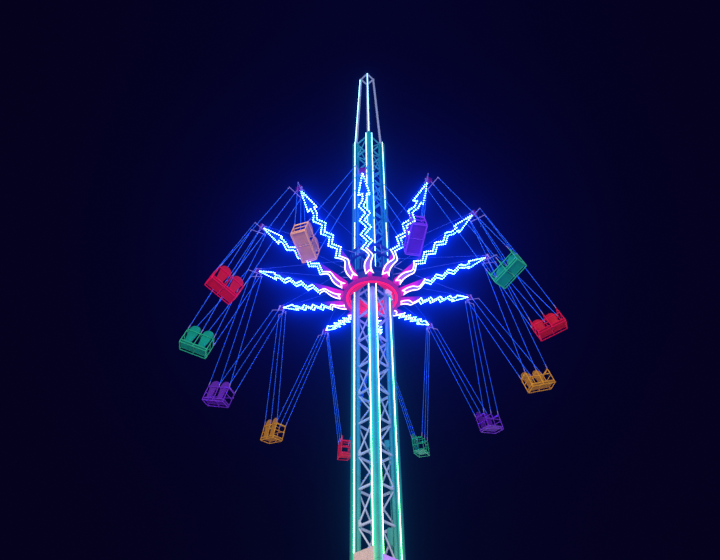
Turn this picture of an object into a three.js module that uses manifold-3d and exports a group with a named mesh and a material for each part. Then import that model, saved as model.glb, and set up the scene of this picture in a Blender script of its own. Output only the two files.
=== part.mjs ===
// Tower chair swing ride, a 1:2 scale model in millimetres, +Z up.
// The origin is the centre of the base plate's underside. The tower's corners point along X and Y.
import * as THREE from 'three';
import { mergeVertices } from 'three/addons/utils/BufferGeometryUtils.js';
import Module from 'manifold-3d';

const wasm = await Module();
wasm.setup();

// Driving dimensions
const SEAT_GAP = 0.3;
const MERGE_LIMIT = 0.01;
const GUIDE_GAP = 0.5;
const FUSE_LAP = 1;
const BAY_HEIGHT = 743;
const BASE_LEVEL = 215;
const FOOT_BAYS = 7;
const LOWER_BAYS = 13;
const MIDDLE_BAYS = 20;
const HEAD_BAYS = 24;
const FACE_TURN = 90;
const TOWER_TOP = 18770;
const CROWN_TOP = 22885;
const ARM_COUNT = 12;
const ARM_STEP = 360 / ARM_COUNT;
const ARM_PHASE = -95.3;
const TIP_RADIUS = 3000;
const TIP_LEVEL = 13270;
const ROOT_RADIUS = 768;
const ROOT_LEVEL = 12177;
const SWING_LENGTH = 3552;
const SWING_REST = 17.8;

// Base plate and its stiffeners
const PLATE_SIDE = 1080;
const PLATE_THICK = 40;
const GUSSET_HEIGHT = 190;
const GUSSET_REACH = 110;
const GUSSET_THICK = 24;
const GUSSET_INSET = 60;

// Corner column section: an angle whose legs lie in two faces, a web and an inner chord
const CORNER_RADIUS = 512;
const FACE_PLANE = CORNER_RADIUS / Math.SQRT2;
const LEG_WIDTH = 142;
const LEG_THICK = 12;
const WEB_HALF = 25;
const CHORD_MIDDLE = 350;
const CHORD_REACH = 49;
const BRACE_PLANE = 262;
const RAIL_SIZE = 40;
const DIAGONAL_SIZE = 36;
const DIAGONAL_OFFSET = 62;
const RAIL_LIFT = 22;

// Light channel on each leg of each column
const CHANNEL_INSET = 117;
const CHANNEL_WIDTH = 28;
const CHANNEL_DEPTH = 14;
const CHANNEL_WALL = 5;
const CHANNEL_TOP_DROP = 2;

// Cladding of the tower's foot
const CLAD_TOP_RIBBED = 5650;
const CLAD_TOP_PLAIN = 5510;
const CLAD_BOTTOM = 300;
const CLAD_THICK = 14;
const CLAD_HALF_WIDTH = 262;
const CLAD_RIB_HALF = 110;
const FOOT_RAILS = [0, 2, 4, 6];

// Crown on the tower's head
const CROWN_FOOT_RADIUS = 386;
const CROWN_HEAD_RADIUS = 219;
const CROWN_LEG = 62;
const CROWN_RAIL = 44;
const CROWN_SHOE = 110;
const CROWN_SHOE_THICK = 20;

// Lifting carriage: rings, corner guides, posts and the drive box beside one corner
const SLEEVE_IN = 520;
const SLEEVE_OUT = 562;
const BEARING_OUT = 577;
const SLEEVE_BOTTOM = 12440;
const SLEEVE_TOP = 13500;
const SLEEVE_RING = 80;
const GUIDE_BOTTOM = 12000;
const GUIDE_LEG = 92;
const GUIDE_THICK = 20;
const POST_RADIUS = 522;
const POST_WIDTH = 40;
const POST_DEPTH = 36;
const POST_TURNS = [30, 60];
const DRIVE_BOTTOM = 11870;
const DRIVE_TOP = 12340;
const DRIVE_START = 50;
const DRIVE_END = 260;
const DRIVE_BACK = 392;
const DRIVE_FRONT = 470;
const DRIVE_BRACKET_THICK = 12;
const DRIVE_BRACKET_END = 310;
const DRIVE_BRACKET_MARGIN = 30;

// Rotor ring, mast and collar
const RING_SEGMENTS = 24;
const HUB_SEGMENTS = 12;
const RING_OUT = 735;
const RING_SKIRT_IN = 685;
const RING_IN = 585;
const RING_BOTTOM = 11960;
const RING_DECK = 12040;
const RING_TOP = 12116;
const FLANGE_IN = 550;
const FLANGE_OUT = 640;
const FLANGE_THICK = 50;
const COLLAR_IN = 552;
const COLLAR_OUT = 600;
const COLLAR_BOTTOM = 13100;
const COLLAR_TOP = 13165;
const MAST_FOOT_RADIUS = 640;
const MAST_HEAD_RADIUS = 574;
const MAST_POST = 36;
const MAST_SHOE = 60;
const MAST_SHOE_THICK = 14;
const MAST_TOP_DROP = 20;

// Arm beam, light board, tip bracket and stays
const ARM_BLOCK_IN = 684;
const ARM_BLOCK_OUT = 800;
const ARM_BLOCK_HALF = 55;
const ARM_BLOCK_TOP = 12262;
const BEAM_HALF = 34;
const BEAM_ROOT_HEIGHT = 132;
const BEAM_TIP_HEIGHT = 64;
const BOARD_THICK = 20;
const BOARD_DROP = 12;
const PACKER_HALF = 14;
const PACKERS = [150, 1120, 2120];
const BEAM_OVERHANG = 8;
const ZIG_FIRST = 1354;
const ZIG_PITCH = 156;
const ZIG_COUNT = 7;
const ZIG_LEFT = -96;
const ZIG_RIGHT = 60;
const BAND_HALF = 58;
const PIVOT_RADIUS = 3060;
const PIVOT_LEVEL = 13290;
const BRACKET_HALF = 70;
const BRACKET_IN = 2985;
const BRACKET_OUT = 3092;
const BRACKET_HEIGHT = 76;
const STAY_SIZE = 12;
const LUG_HALF = 14;
const LUG_REACH = 30;
const STAY_TIP_IN = 3015;
const STAY_TIP_SIDE = 30;
const STAY_TIP_LIFT = 20;
const NOTCH = [845, 0];
const ROOT_LEFT = [[768, -95], [915, -122], [1045, -95], [1185, 5], [1265, -40]];
const ROOT_RIGHT = [[790, 82], [912, 42], [1050, 62], [1182, 113], [1262, 60]];
const HEAD_LEFT = [[2415, -34], [2540, -30], [2512, -144], [3010, 0]];
const HEAD_RIGHT = [[2415, 52], [2540, 56], [2512, 146]];

// Seats: width is radial, depth along the travel
const SEAT_WIDTH = 640;
const SEAT_DEPTH = 300;
const SEAT_TUBE = 20;
const SEAT_RAIL_DROP = 64;
const SEAT_FRAME_TOP = 335;
const PAN_BOTTOM = 4;
const PAN_THICK = 18;
const PAN_MARGIN = 4;
const BACK_BOTTOM = 12;
const BACK_CENTRE = 378;
const BACK_RADIUS = 122;
const BACK_FOOT = 72;
const BACK_THICK = 22;
const BACK_STEPS = 4;
const BACK_START = -22.5;
const BACK_SWEEP = 225;
const LAP_BAR_LEVEL = 205;
const SIDE_BAR = 165;
const SPREADER_HALF = 195;
const SPREADER_DROP = 140;
const SPREADER_HUB = 24;
const SPREADER_BAR = 16;
const ROPE_SIZE = 13;

const rad = THREE.MathUtils.degToRad;
const V = (x, y, z) => new THREE.Vector3(x, y, z);

function paint(colour, roughness, metalness) {
  return new THREE.MeshStandardMaterial({ color: colour, roughness, metalness });
}

const TOWER_PAINT = paint(0xb9b4cf, 0.45, 0.35);
const BASE_PAINT = paint(0x6c6f7c, 0.6, 0.4);
const RIBBED_PAINT = paint(0xc9b8a4, 0.6, 0.1);
const PLAIN_PAINT = paint(0xbfa4dc, 0.55, 0.1);
const LIGHT_PAINT = paint(0x8ff4ee, 0.25, 0);
const CARRIAGE_PAINT = paint(0x3f9fb0, 0.45, 0.4);
const RING_PAINT = paint(0x8a1a96, 0.4, 0.2);
const MAST_PAINT = paint(0x7f6fc4, 0.45, 0.3);
const ARM_PAINT = paint(0x3550c8, 0.45, 0.3);
const HANGER_PAINT = paint(0x4f7fe6, 0.4, 0.4);
const SEAT_PAINTS = [
  paint(0xe8a626, 0.4, 0.1),
  paint(0xd41e3c, 0.4, 0.1),
  paint(0x16b482, 0.4, 0.1),
  paint(0x7a2fc0, 0.4, 0.1),
];

// Solids: geometry in, closed solid out
function solid(geometry) {
  const plain = geometry.clone();
  plain.deleteAttribute('normal');
  plain.deleteAttribute('uv');
  const merged = mergeVertices(plain, 1e-3);
  const data = {
    numProp: 3,
    vertProperties: new Float32Array(merged.attributes.position.array),
    triVerts: new Uint32Array(merged.index.array),
  };
  return new wasm.Manifold(new wasm.Mesh(data));
}

function fuse(geometries) {
  let whole = solid(geometries[0]);
  for (const geometry of geometries.slice(1)) {
    whole = whole.add(solid(geometry));
  }
  return whole.asOriginal().simplify(MERGE_LIMIT);
}

function toGeometry(manifold) {
  const result = manifold.getMesh();
  const geometry = new THREE.BufferGeometry();
  geometry.setAttribute('position', new THREE.BufferAttribute(result.vertProperties, 3));
  geometry.setIndex(new THREE.BufferAttribute(result.triVerts, 1));
  geometry.computeVertexNormals();
  return geometry;
}

function piece(name, geometries, material) {
  const mesh = new THREE.Mesh(toGeometry(fuse(geometries)), material.clone());
  mesh.name = name;
  return mesh;
}

// Shapes
function block(low, high) {
  const size = high.clone().sub(low);
  const middle = low.clone().add(high).multiplyScalar(0.5);
  return new THREE.BoxGeometry(size.x, size.y, size.z).translate(middle.x, middle.y, middle.z);
}

function bar(from, to, width, height) {
  const along = to.clone().sub(from);
  const length = along.length();
  const forward = along.normalize();
  const upright = Math.abs(forward.z) > 0.999 ? V(0, 1, 0) : V(0, 0, 1);
  const side = upright.clone().cross(forward).normalize();
  const over = forward.clone().cross(side);
  const middle = from.clone().add(to).multiplyScalar(0.5);
  const frame = new THREE.Matrix4().makeBasis(side, over, forward).setPosition(middle);
  return new THREE.BoxGeometry(width, height, length).applyMatrix4(frame);
}

function slab(points, bottom, top, holes = []) {
  const shape = new THREE.Shape(points.map(([x, y]) => new THREE.Vector2(x, y)));
  for (const hole of holes) {
    shape.holes.push(new THREE.Path(hole.map(([x, y]) => new THREE.Vector2(x, y))));
  }
  const geometry = new THREE.ExtrudeGeometry(shape, { depth: top - bottom, bevelEnabled: false });
  return geometry.translate(0, 0, bottom);
}

// A ring's radii are those of its flats, and a flat faces every arm.
function ring(profile, segments) {
  const half = Math.PI / segments;
  const closed = [...profile, profile[0]].map(([r, z]) => new THREE.Vector2(r / Math.cos(half), z));
  return new THREE.LatheGeometry(closed, segments).rotateX(Math.PI / 2).rotateZ(half);
}

function turned(geometry, degrees) {
  return geometry.rotateZ(rad(degrees));
}

function rectangle(x0, x1, y0, y1) {
  return [[x0, y0], [x1, y0], [x1, y1], [x0, y1]];
}

// Tower
const CORNERS = [-90, 0, 90, 180];
const FACES = [-45, 45, 135, 225];

function bayLevel(index) {
  return BASE_LEVEL + index * BAY_HEIGHT;
}

// In plan: the column's corner points along local X.
function columnSection() {
  const legEnd = LEG_WIDTH / Math.SQRT2;
  const wall = LEG_THICK / Math.SQRT2;
  const webEnd = CHORD_MIDDLE + CHORD_REACH - WEB_HALF;
  const webStart = CORNER_RADIUS - 2 * wall - WEB_HALF;
  return [
    [CORNER_RADIUS, 0], [CORNER_RADIUS - legEnd, legEnd], [CORNER_RADIUS - legEnd - wall, legEnd - wall],
    [webStart, WEB_HALF], [webEnd, WEB_HALF], [CHORD_MIDDLE, CHORD_REACH],
    [CHORD_MIDDLE - CHORD_REACH, 0], [CHORD_MIDDLE, -CHORD_REACH], [webEnd, -WEB_HALF],
    [webStart, -WEB_HALF], [CORNER_RADIUS - legEnd - wall, wall - legEnd], [CORNER_RADIUS - legEnd, -legEnd],
  ];
}

function columns(bottom, top) {
  return CORNERS.map((angle) => turned(slab(columnSection(), bottom, top), angle));
}

// A face lies along local X, its outside towards local -Y, so it is turned by its angle plus a quarter turn.
function faceBar(face, x0, z0, x1, z1, size) {
  const geometry = bar(V(x0, -BRACE_PLANE, z0), V(x1, -BRACE_PLANE, z1), size, size);
  return turned(geometry, face + FACE_TURN);
}

function rails(level) {
  const reach = CHORD_MIDDLE / Math.SQRT2;
  return FACES.map((face) => faceBar(face, -reach, level, reach, level, RAIL_SIZE));
}

function diagonals(index, bottom, top) {
  const reach = CHORD_MIDDLE / Math.SQRT2;
  const low = bottom + DIAGONAL_OFFSET;
  const high = top - DIAGONAL_OFFSET / 2;
  const falls = index % 2 === 1;
  return FACES.map((face) => (falls
    ? faceBar(face, -reach, high, reach, low, DIAGONAL_SIZE)
    : faceBar(face, -reach, low, reach, high, DIAGONAL_SIZE)));
}

function latticeSection(name, firstBay, lastBay) {
  const parts = columns(bayLevel(firstBay) + SEAT_GAP, bayLevel(lastBay));
  for (let index = firstBay; index < lastBay; index += 1) {
    parts.push(...rails(bayLevel(index) + RAIL_LIFT));
    parts.push(...diagonals(index, bayLevel(index) + RAIL_LIFT, bayLevel(index + 1)));
  }
  return piece(name, parts, TOWER_PAINT);
}

function towerFoot(lastBay) {
  const parts = columns(PLATE_THICK + SEAT_GAP, bayLevel(lastBay));
  for (const index of FOOT_RAILS) {
    parts.push(...rails(bayLevel(index) + RAIL_LIFT));
  }
  return piece('tower_foot', parts, TOWER_PAINT);
}

function towerHead(firstBay, lastBay) {
  const parts = columns(bayLevel(firstBay) + SEAT_GAP, TOWER_TOP);
  for (let index = firstBay; index < lastBay; index += 1) {
    const top = bayLevel(index + 1);
    parts.push(...rails(bayLevel(index) + RAIL_LIFT));
    parts.push(...diagonals(index, bayLevel(index) + RAIL_LIFT, top));
  }
  parts.push(...rails(bayLevel(lastBay) + RAIL_LIFT));
  parts.push(...diagonals(lastBay, bayLevel(lastBay) + RAIL_LIFT, TOWER_TOP - RAIL_LIFT));
  parts.push(...rails(TOWER_TOP - RAIL_LIFT));
  return piece('tower_head', parts, TOWER_PAINT);
}

function basePlate() {
  const half = PLATE_SIDE / 2;
  const parts = [turned(slab(rectangle(-half, half, -half, half), 0, PLATE_THICK), 45)];
  const near = FACE_PLANE + SEAT_GAP;
  const low = PLATE_THICK - FUSE_LAP;
  for (const face of FACES) {
    for (const side of [-1, 1]) {
      const profile = [[near, low], [near + GUSSET_REACH, low], [near, GUSSET_HEIGHT]];
      const wedge = slab(profile, -GUSSET_THICK / 2, GUSSET_THICK / 2).rotateX(Math.PI / 2);
      parts.push(turned(wedge.translate(0, side * (FACE_PLANE - GUSSET_INSET), 0), face));
    }
  }
  return piece('base_plate', parts, BASE_PAINT);
}

// side is -1 for the leg at the face's local left end and 1 for the other
function lightChannel(name, face, side, bottom) {
  const back = -FACE_PLANE - SEAT_GAP;
  const front = back - CHANNEL_DEPTH;
  const web = back - CHANNEL_WALL;
  const middle = side * (FACE_PLANE - CHANNEL_INSET);
  const out = CHANNEL_WIDTH / 2;
  const groove = out - CHANNEL_WALL;
  const section = [[middle - out, front], [middle - groove, front], [middle - groove, web],
    [middle + groove, web], [middle + groove, front], [middle + out, front], [middle + out, back],
    [middle - out, back]];
  const trough = slab(section, bottom, TOWER_TOP - CHANNEL_TOP_DROP);
  return piece(name, [turned(trough, face + FACE_TURN)], LIGHT_PAINT);
}

function claddingPanel(name, face, top, material) {
  const back = BRACE_PLANE + RAIL_SIZE / 2 + SEAT_GAP;
  const inside = FACE_PLANE + SEAT_GAP;
  const outside = inside + CLAD_THICK;
  const parts = [block(V(-CLAD_HALF_WIDTH, -outside, CLAD_BOTTOM), V(CLAD_HALF_WIDTH, -inside, top))];
  for (const index of FOOT_RAILS) {
    const level = bayLevel(index) + RAIL_LIFT;
    const low = Math.max(level - RAIL_SIZE / 2, CLAD_BOTTOM + FUSE_LAP);
    const high = level + 2 * RAIL_SIZE;
    const rib = block(V(-CLAD_RIB_HALF, -inside - FUSE_LAP, low), V(CLAD_RIB_HALF, -back, high));
    parts.push(rib);
  }
  return piece(name, parts.map((part) => turned(part, face + FACE_TURN)), material);
}

function crown() {
  const parts = [];
  const bottom = TOWER_TOP + SEAT_GAP;
  for (const angle of CORNERS) {
    const half = CROWN_SHOE / 2;
    const shoe = slab(rectangle(CROWN_FOOT_RADIUS - half, CROWN_FOOT_RADIUS + half, -half, half),
      bottom, bottom + CROWN_SHOE_THICK);
    const leg = bar(V(CROWN_FOOT_RADIUS, 0, bottom + CROWN_SHOE_THICK / 2),
      V(CROWN_HEAD_RADIUS, 0, CROWN_TOP - CROWN_RAIL / 2), CROWN_LEG, CROWN_LEG);
    const next = V(0, CROWN_HEAD_RADIUS, CROWN_TOP - CROWN_RAIL / 2);
    const rail = bar(V(CROWN_HEAD_RADIUS, 0, CROWN_TOP - CROWN_RAIL / 2), next, CROWN_RAIL, CROWN_RAIL);
    parts.push(turned(shoe, angle), turned(leg, angle), turned(rail, angle));
  }
  return piece('crown_frame', parts, TOWER_PAINT);
}

// Carriage
function cornerGuide(bottom, top) {
  const inner = CORNER_RADIUS + GUIDE_GAP * Math.SQRT2;
  const outer = inner + GUIDE_THICK * Math.SQRT2;
  const leg = GUIDE_LEG / Math.SQRT2;
  const wall = GUIDE_THICK / Math.SQRT2;
  return slab([[outer, 0], [inner - leg + wall, leg + wall], [inner - leg, leg], [inner, 0],
    [inner - leg, -leg], [inner - leg + wall, -leg - wall]], bottom, top);
}

// On the face between the near and the right corner, beside the right one
function driveBox() {
  const bracketBack = FACE_PLANE + GUIDE_GAP + GUIDE_THICK - FUSE_LAP;
  const box = block(V(DRIVE_START, -DRIVE_FRONT, DRIVE_BOTTOM), V(DRIVE_END, -DRIVE_BACK, DRIVE_TOP));
  const bracket = block(V(DRIVE_START + DRIVE_BRACKET_MARGIN, -bracketBack - DRIVE_BRACKET_THICK,
    GUIDE_BOTTOM + DRIVE_BRACKET_MARGIN),
  V(DRIVE_BRACKET_END, -bracketBack, DRIVE_TOP - DRIVE_BRACKET_MARGIN));
  return [turned(box, FACES[0] + FACE_TURN), turned(bracket, FACES[0] + FACE_TURN)];
}

function carriageFrame() {
  const lower = ring([[SLEEVE_IN, SLEEVE_BOTTOM], [BEARING_OUT, SLEEVE_BOTTOM],
    [BEARING_OUT, SLEEVE_BOTTOM + SLEEVE_RING], [SLEEVE_IN, SLEEVE_BOTTOM + SLEEVE_RING]], HUB_SEGMENTS);
  const upper = ring([[SLEEVE_IN, SLEEVE_TOP - SLEEVE_RING], [SLEEVE_OUT, SLEEVE_TOP - SLEEVE_RING],
    [SLEEVE_OUT, SLEEVE_TOP], [SLEEVE_IN, SLEEVE_TOP]], HUB_SEGMENTS);
  const parts = [lower, upper, ...driveBox()];
  const lap = SLEEVE_RING / 2;
  for (const angle of CORNERS) {
    parts.push(turned(cornerGuide(GUIDE_BOTTOM, SLEEVE_TOP - FUSE_LAP), angle));
    for (const turn of POST_TURNS) {
      const post = bar(V(POST_RADIUS, 0, SLEEVE_BOTTOM + lap), V(POST_RADIUS, 0, SLEEVE_TOP - lap),
        POST_DEPTH, POST_WIDTH);
      parts.push(turned(post, angle + turn));
    }
  }
  return piece('carriage_frame', parts, CARRIAGE_PAINT);
}

// Rotor
function rotorRing() {
  const profile = [[RING_IN, RING_DECK], [RING_SKIRT_IN, RING_DECK], [RING_SKIRT_IN, RING_BOTTOM],
    [RING_OUT, RING_BOTTOM], [RING_OUT, RING_TOP], [RING_IN, RING_TOP]];
  return piece('rotor_ring', [ring(profile, RING_SEGMENTS)], RING_PAINT);
}

function rotorMast() {
  const flangeBottom = SLEEVE_BOTTOM + SLEEVE_RING + SEAT_GAP;
  const parts = [
    ring([[FLANGE_IN, flangeBottom], [FLANGE_OUT, flangeBottom],
      [FLANGE_OUT, flangeBottom + FLANGE_THICK], [FLANGE_IN, flangeBottom + FLANGE_THICK]], HUB_SEGMENTS),
    ring([[COLLAR_IN, COLLAR_BOTTOM], [COLLAR_OUT, COLLAR_BOTTOM],
      [COLLAR_OUT, COLLAR_TOP], [COLLAR_IN, COLLAR_TOP]], HUB_SEGMENTS),
  ];
  const shoeBottom = RING_TOP + SEAT_GAP;
  const half = MAST_SHOE / 2;
  for (let index = 0; index < ARM_COUNT; index += 2) {
    const outline = rectangle(MAST_FOOT_RADIUS - half, MAST_FOOT_RADIUS + half, -half, half);
    const shoe = slab(outline, shoeBottom, shoeBottom + MAST_SHOE_THICK);
    const post = bar(V(MAST_FOOT_RADIUS, 0, shoeBottom + MAST_SHOE_THICK / 2),
      V(MAST_HEAD_RADIUS, 0, COLLAR_TOP - MAST_TOP_DROP), MAST_POST, MAST_POST);
    parts.push(turned(shoe, index * ARM_STEP), turned(post, index * ARM_STEP));
  }
  return piece('rotor_mast', parts, MAST_PAINT);
}

// The light board's outline along the arm: notched root, S-bend, zigzag band, neck and arrowhead.
function boardOutline() {
  const left = [...ROOT_LEFT];
  const right = [...ROOT_RIGHT];
  for (let index = 0; index < ZIG_COUNT; index += 1) {
    const along = ZIG_FIRST + index * ZIG_PITCH;
    const centre = index % 2 === 0 ? ZIG_LEFT : ZIG_RIGHT;
    left.push([along, centre - BAND_HALF]);
    right.push([along, centre + BAND_HALF]);
  }
  return [NOTCH, ...left, ...HEAD_LEFT, ...[...right, ...HEAD_RIGHT].reverse()];
}

function lightBoard() {
  const slope = Math.atan2(TIP_LEVEL - ROOT_LEVEL, TIP_RADIUS - ROOT_RADIUS);
  const stretch = 1 / Math.cos(slope);
  const points = boardOutline().map(([r, s]) => [(r - ROOT_RADIUS) * stretch, s]);
  return slab(points, 0, BOARD_THICK).rotateY(-slope).translate(ROOT_RADIUS, 0, ROOT_LEVEL);
}

function armBeam() {
  const slope = Math.atan2(TIP_LEVEL - ROOT_LEVEL, TIP_RADIUS - ROOT_RADIUS);
  const length = Math.hypot(TIP_LEVEL - ROOT_LEVEL, TIP_RADIUS - ROOT_RADIUS);
  const low = BOARD_THICK + BOARD_DROP;
  const profile = [[-BEAM_OVERHANG, low], [length, low], [length, low + BEAM_TIP_HEIGHT],
    [-BEAM_OVERHANG, low + BEAM_ROOT_HEIGHT]];
  const beam = slab(profile, -BEAM_HALF, BEAM_HALF).rotateX(Math.PI / 2);
  const packers = PACKERS.map((along) => block(
    V(along - PACKER_HALF, -PACKER_HALF, BOARD_THICK - FUSE_LAP),
    V(along + PACKER_HALF, PACKER_HALF, low + FUSE_LAP)));
  return [beam, ...packers].map((part) => part.rotateY(-slope).translate(ROOT_RADIUS, 0, ROOT_LEVEL));
}

function tipBracket() {
  const splay = Math.tan(rad(ARM_STEP / 2));
  const inner = BRACKET_HALF - (PIVOT_RADIUS - BRACKET_IN) * splay;
  const outer = BRACKET_HALF + (BRACKET_OUT - PIVOT_RADIUS) * splay;
  const outline = [[BRACKET_IN, -inner], [BRACKET_OUT, -outer], [BRACKET_OUT, outer], [BRACKET_IN, inner]];
  return slab(outline, PIVOT_LEVEL - BRACKET_HEIGHT / 2, PIVOT_LEVEL + BRACKET_HEIGHT / 2);
}

function armStay(side) {
  const level = side > 0 ? COLLAR_TOP - LUG_HALF : COLLAR_BOTTOM + LUG_HALF;
  const near = COLLAR_OUT + SEAT_GAP;
  const lug = block(V(near, -LUG_HALF, level - LUG_HALF), V(near + LUG_REACH, LUG_HALF, level + LUG_HALF));
  const hub = V(near + LUG_REACH / 2, 0, level).applyAxisAngle(V(0, 0, 1), rad(ARM_STEP * side));
  const tip = V(STAY_TIP_IN, side * STAY_TIP_SIDE, PIVOT_LEVEL + STAY_TIP_LIFT);
  return [turned(lug, ARM_STEP * side), bar(tip, hub, STAY_SIZE, STAY_SIZE)];
}

function arm(name) {
  const root = block(V(ARM_BLOCK_IN, -ARM_BLOCK_HALF, RING_TOP + SEAT_GAP),
    V(ARM_BLOCK_OUT, ARM_BLOCK_HALF, ARM_BLOCK_TOP));
  const stays = [...armStay(1), ...armStay(-1)];
  return piece(name, [...armBeam(), root, lightBoard(), tipBracket(), ...stays], ARM_PAINT);
}

// Seats, in the swing's own frame: X along the travel, Y outwards, Z up along the ropes, origin on the axis
const SEAT_FLOOR = -SWING_LENGTH;
const PIN_OFFSET = PIVOT_RADIUS * Math.sin(rad(ARM_STEP / 2)) - BRACKET_HALF * Math.cos(rad(ARM_STEP / 2));
const SPREADER_X = PIN_OFFSET - SPREADER_BAR / 2 - SEAT_GAP;

function spreader(side) {
  const x = side * SPREADER_X;
  const half = SPREADER_BAR / 2;
  const hub = block(V(x - half, -SPREADER_HUB, -SPREADER_HUB), V(x + half, SPREADER_HUB, SPREADER_HUB));
  const link = block(V(x - half, -half, -SPREADER_DROP), V(x + half, half, 0));
  const outer = V(x, SPREADER_HALF, -SPREADER_DROP);
  const inner = V(x, -SPREADER_HALF, -SPREADER_DROP);
  return [hub, link, bar(outer, inner, SPREADER_BAR, SPREADER_BAR)];
}

function ropes(side) {
  const top = SEAT_FLOOR + SEAT_FRAME_TOP + SEAT_TUBE;
  const half = SEAT_WIDTH / 2 - SEAT_TUBE / 2;
  const foot = SEAT_DEPTH / 2 - SEAT_TUBE / 2;
  const spread = SPREADER_HALF - SPREADER_BAR / 2;
  return [-1, 0, 1].map((place) => bar(V(side * SPREADER_X, place * spread, -SPREADER_DROP),
    V(side * foot, place * half, top), ROPE_SIZE, ROPE_SIZE));
}

function hanger(name) {
  const half = SEAT_WIDTH / 2 - SEAT_TUBE / 2;
  const level = SEAT_FLOOR + SEAT_FRAME_TOP + SEAT_TUBE / 2 + SEAT_GAP;
  const parts = [...spreader(1), ...spreader(-1), ...ropes(1), ...ropes(-1)];
  const reach = SEAT_DEPTH / 2;
  for (const y of [-half, 0, half]) {
    parts.push(bar(V(-reach, y, level), V(reach, y, level), SEAT_TUBE, SEAT_TUBE));
  }
  return piece(name, parts, HANGER_PAINT);
}

function tube(x0, y0, z0, x1, y1, z1) {
  return bar(V(x0, y0, SEAT_FLOOR + z0), V(x1, y1, SEAT_FLOOR + z1), SEAT_TUBE, SEAT_TUBE);
}

function seatLadder(x) {
  const low = SEAT_TUBE / 2 - SEAT_RAIL_DROP;
  const high = SEAT_TUBE / 2;
  const rails = [low, high].map((level) => tube(x, -SEAT_WIDTH / 2, level, x, SEAT_WIDTH / 2, level));
  return [...rails, tube(x, 0, low, x, 0, high)];
}

function seatSide(y) {
  const foot = SEAT_DEPTH / 2 - SEAT_TUBE / 2;
  const low = -SEAT_RAIL_DROP;
  const posts = [-foot, foot].map((x) => tube(x, y, low, x, y, SEAT_FRAME_TOP));
  const levels = [low + SEAT_TUBE / 2, SEAT_TUBE / 2, SIDE_BAR, SEAT_FRAME_TOP - SEAT_TUBE / 2];
  return [...posts, ...levels.map((level) => tube(-foot, y, level, foot, y, level))];
}

function seatBack(y) {
  const points = [[-BACK_FOOT, BACK_BOTTOM], [BACK_FOOT, BACK_BOTTOM]];
  for (let step = 0; step <= BACK_STEPS; step += 1) {
    const angle = rad(BACK_START + (step * BACK_SWEEP) / BACK_STEPS);
    points.push([BACK_RADIUS * Math.cos(angle), BACK_CENTRE + BACK_RADIUS * Math.sin(angle)]);
  }
  const x = -SEAT_DEPTH / 2 + SEAT_TUBE + BACK_THICK / 2;
  return slab(points.map(([a, b]) => [a + y, b + SEAT_FLOOR]), x - BACK_THICK / 2, x + BACK_THICK / 2)
    .applyMatrix4(new THREE.Matrix4().makeBasis(V(0, 1, 0), V(0, 0, 1), V(1, 0, 0)));
}

function seatPan(y) {
  const depth = SEAT_DEPTH / 2 - PAN_MARGIN;
  const half = SEAT_WIDTH / 4 - SEAT_TUBE;
  const bottom = SEAT_FLOOR + PAN_BOTTOM;
  return block(V(-depth, y - half, bottom), V(depth, y + half, bottom + PAN_THICK));
}

function seat(name, material) {
  const side = SEAT_WIDTH / 2 - SEAT_TUBE / 2;
  const foot = SEAT_DEPTH / 2 - SEAT_TUBE / 2;
  const middle = SEAT_WIDTH / 4;
  const parts = [...seatLadder(foot), ...seatLadder(-foot), ...seatSide(side), ...seatSide(-side)];
  parts.push(seatPan(middle), seatPan(-middle), seatBack(middle), seatBack(-middle));
  const topRail = SEAT_FRAME_TOP - SEAT_TUBE / 2;
  parts.push(tube(-foot, -side, topRail, -foot, side, topRail));
  parts.push(tube(-foot, 0, 0, -foot, 0, SEAT_FRAME_TOP));
  parts.push(tube(foot, -side, LAP_BAR_LEVEL, foot, side, LAP_BAR_LEVEL));
  parts.push(tube(foot, 0, 0, foot, 0, SEAT_FRAME_TOP));
  parts.push(tube(-foot, 0, SEAT_TUBE / 2, foot, 0, SEAT_TUBE / 2));
  return piece(name, parts, material);
}

// Assembly
function twoDigits(number) {
  return String(number).padStart(2, '0');
}

const ride = new THREE.Group();
ride.add(basePlate());
ride.add(towerFoot(FOOT_BAYS));
ride.add(claddingPanel('foot_panel_right', FACES[0], CLAD_TOP_PLAIN, PLAIN_PAINT));
ride.add(claddingPanel('foot_panel_back_right', FACES[1], CLAD_TOP_RIBBED, RIBBED_PAINT));
ride.add(claddingPanel('foot_panel_back_left', FACES[2], CLAD_TOP_PLAIN, PLAIN_PAINT));
ride.add(claddingPanel('foot_panel_left', FACES[3], CLAD_TOP_RIBBED, RIBBED_PAINT));
ride.add(latticeSection('tower_lower', FOOT_BAYS, LOWER_BAYS));
ride.add(latticeSection('tower_middle', LOWER_BAYS, MIDDLE_BAYS));
ride.add(towerHead(MIDDLE_BAYS, HEAD_BAYS));
ride.add(crown());
for (const [index, face] of FACES.entries()) {
  const bottom = index % 2 === 0 ? CLAD_TOP_PLAIN : CLAD_TOP_RIBBED;
  ride.add(lightChannel(`light_channel_${2 * index + 1}`, face, -1, bottom + SEAT_GAP));
  ride.add(lightChannel(`light_channel_${2 * index + 2}`, face, 1, bottom + SEAT_GAP));
}
ride.add(carriageFrame());

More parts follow.
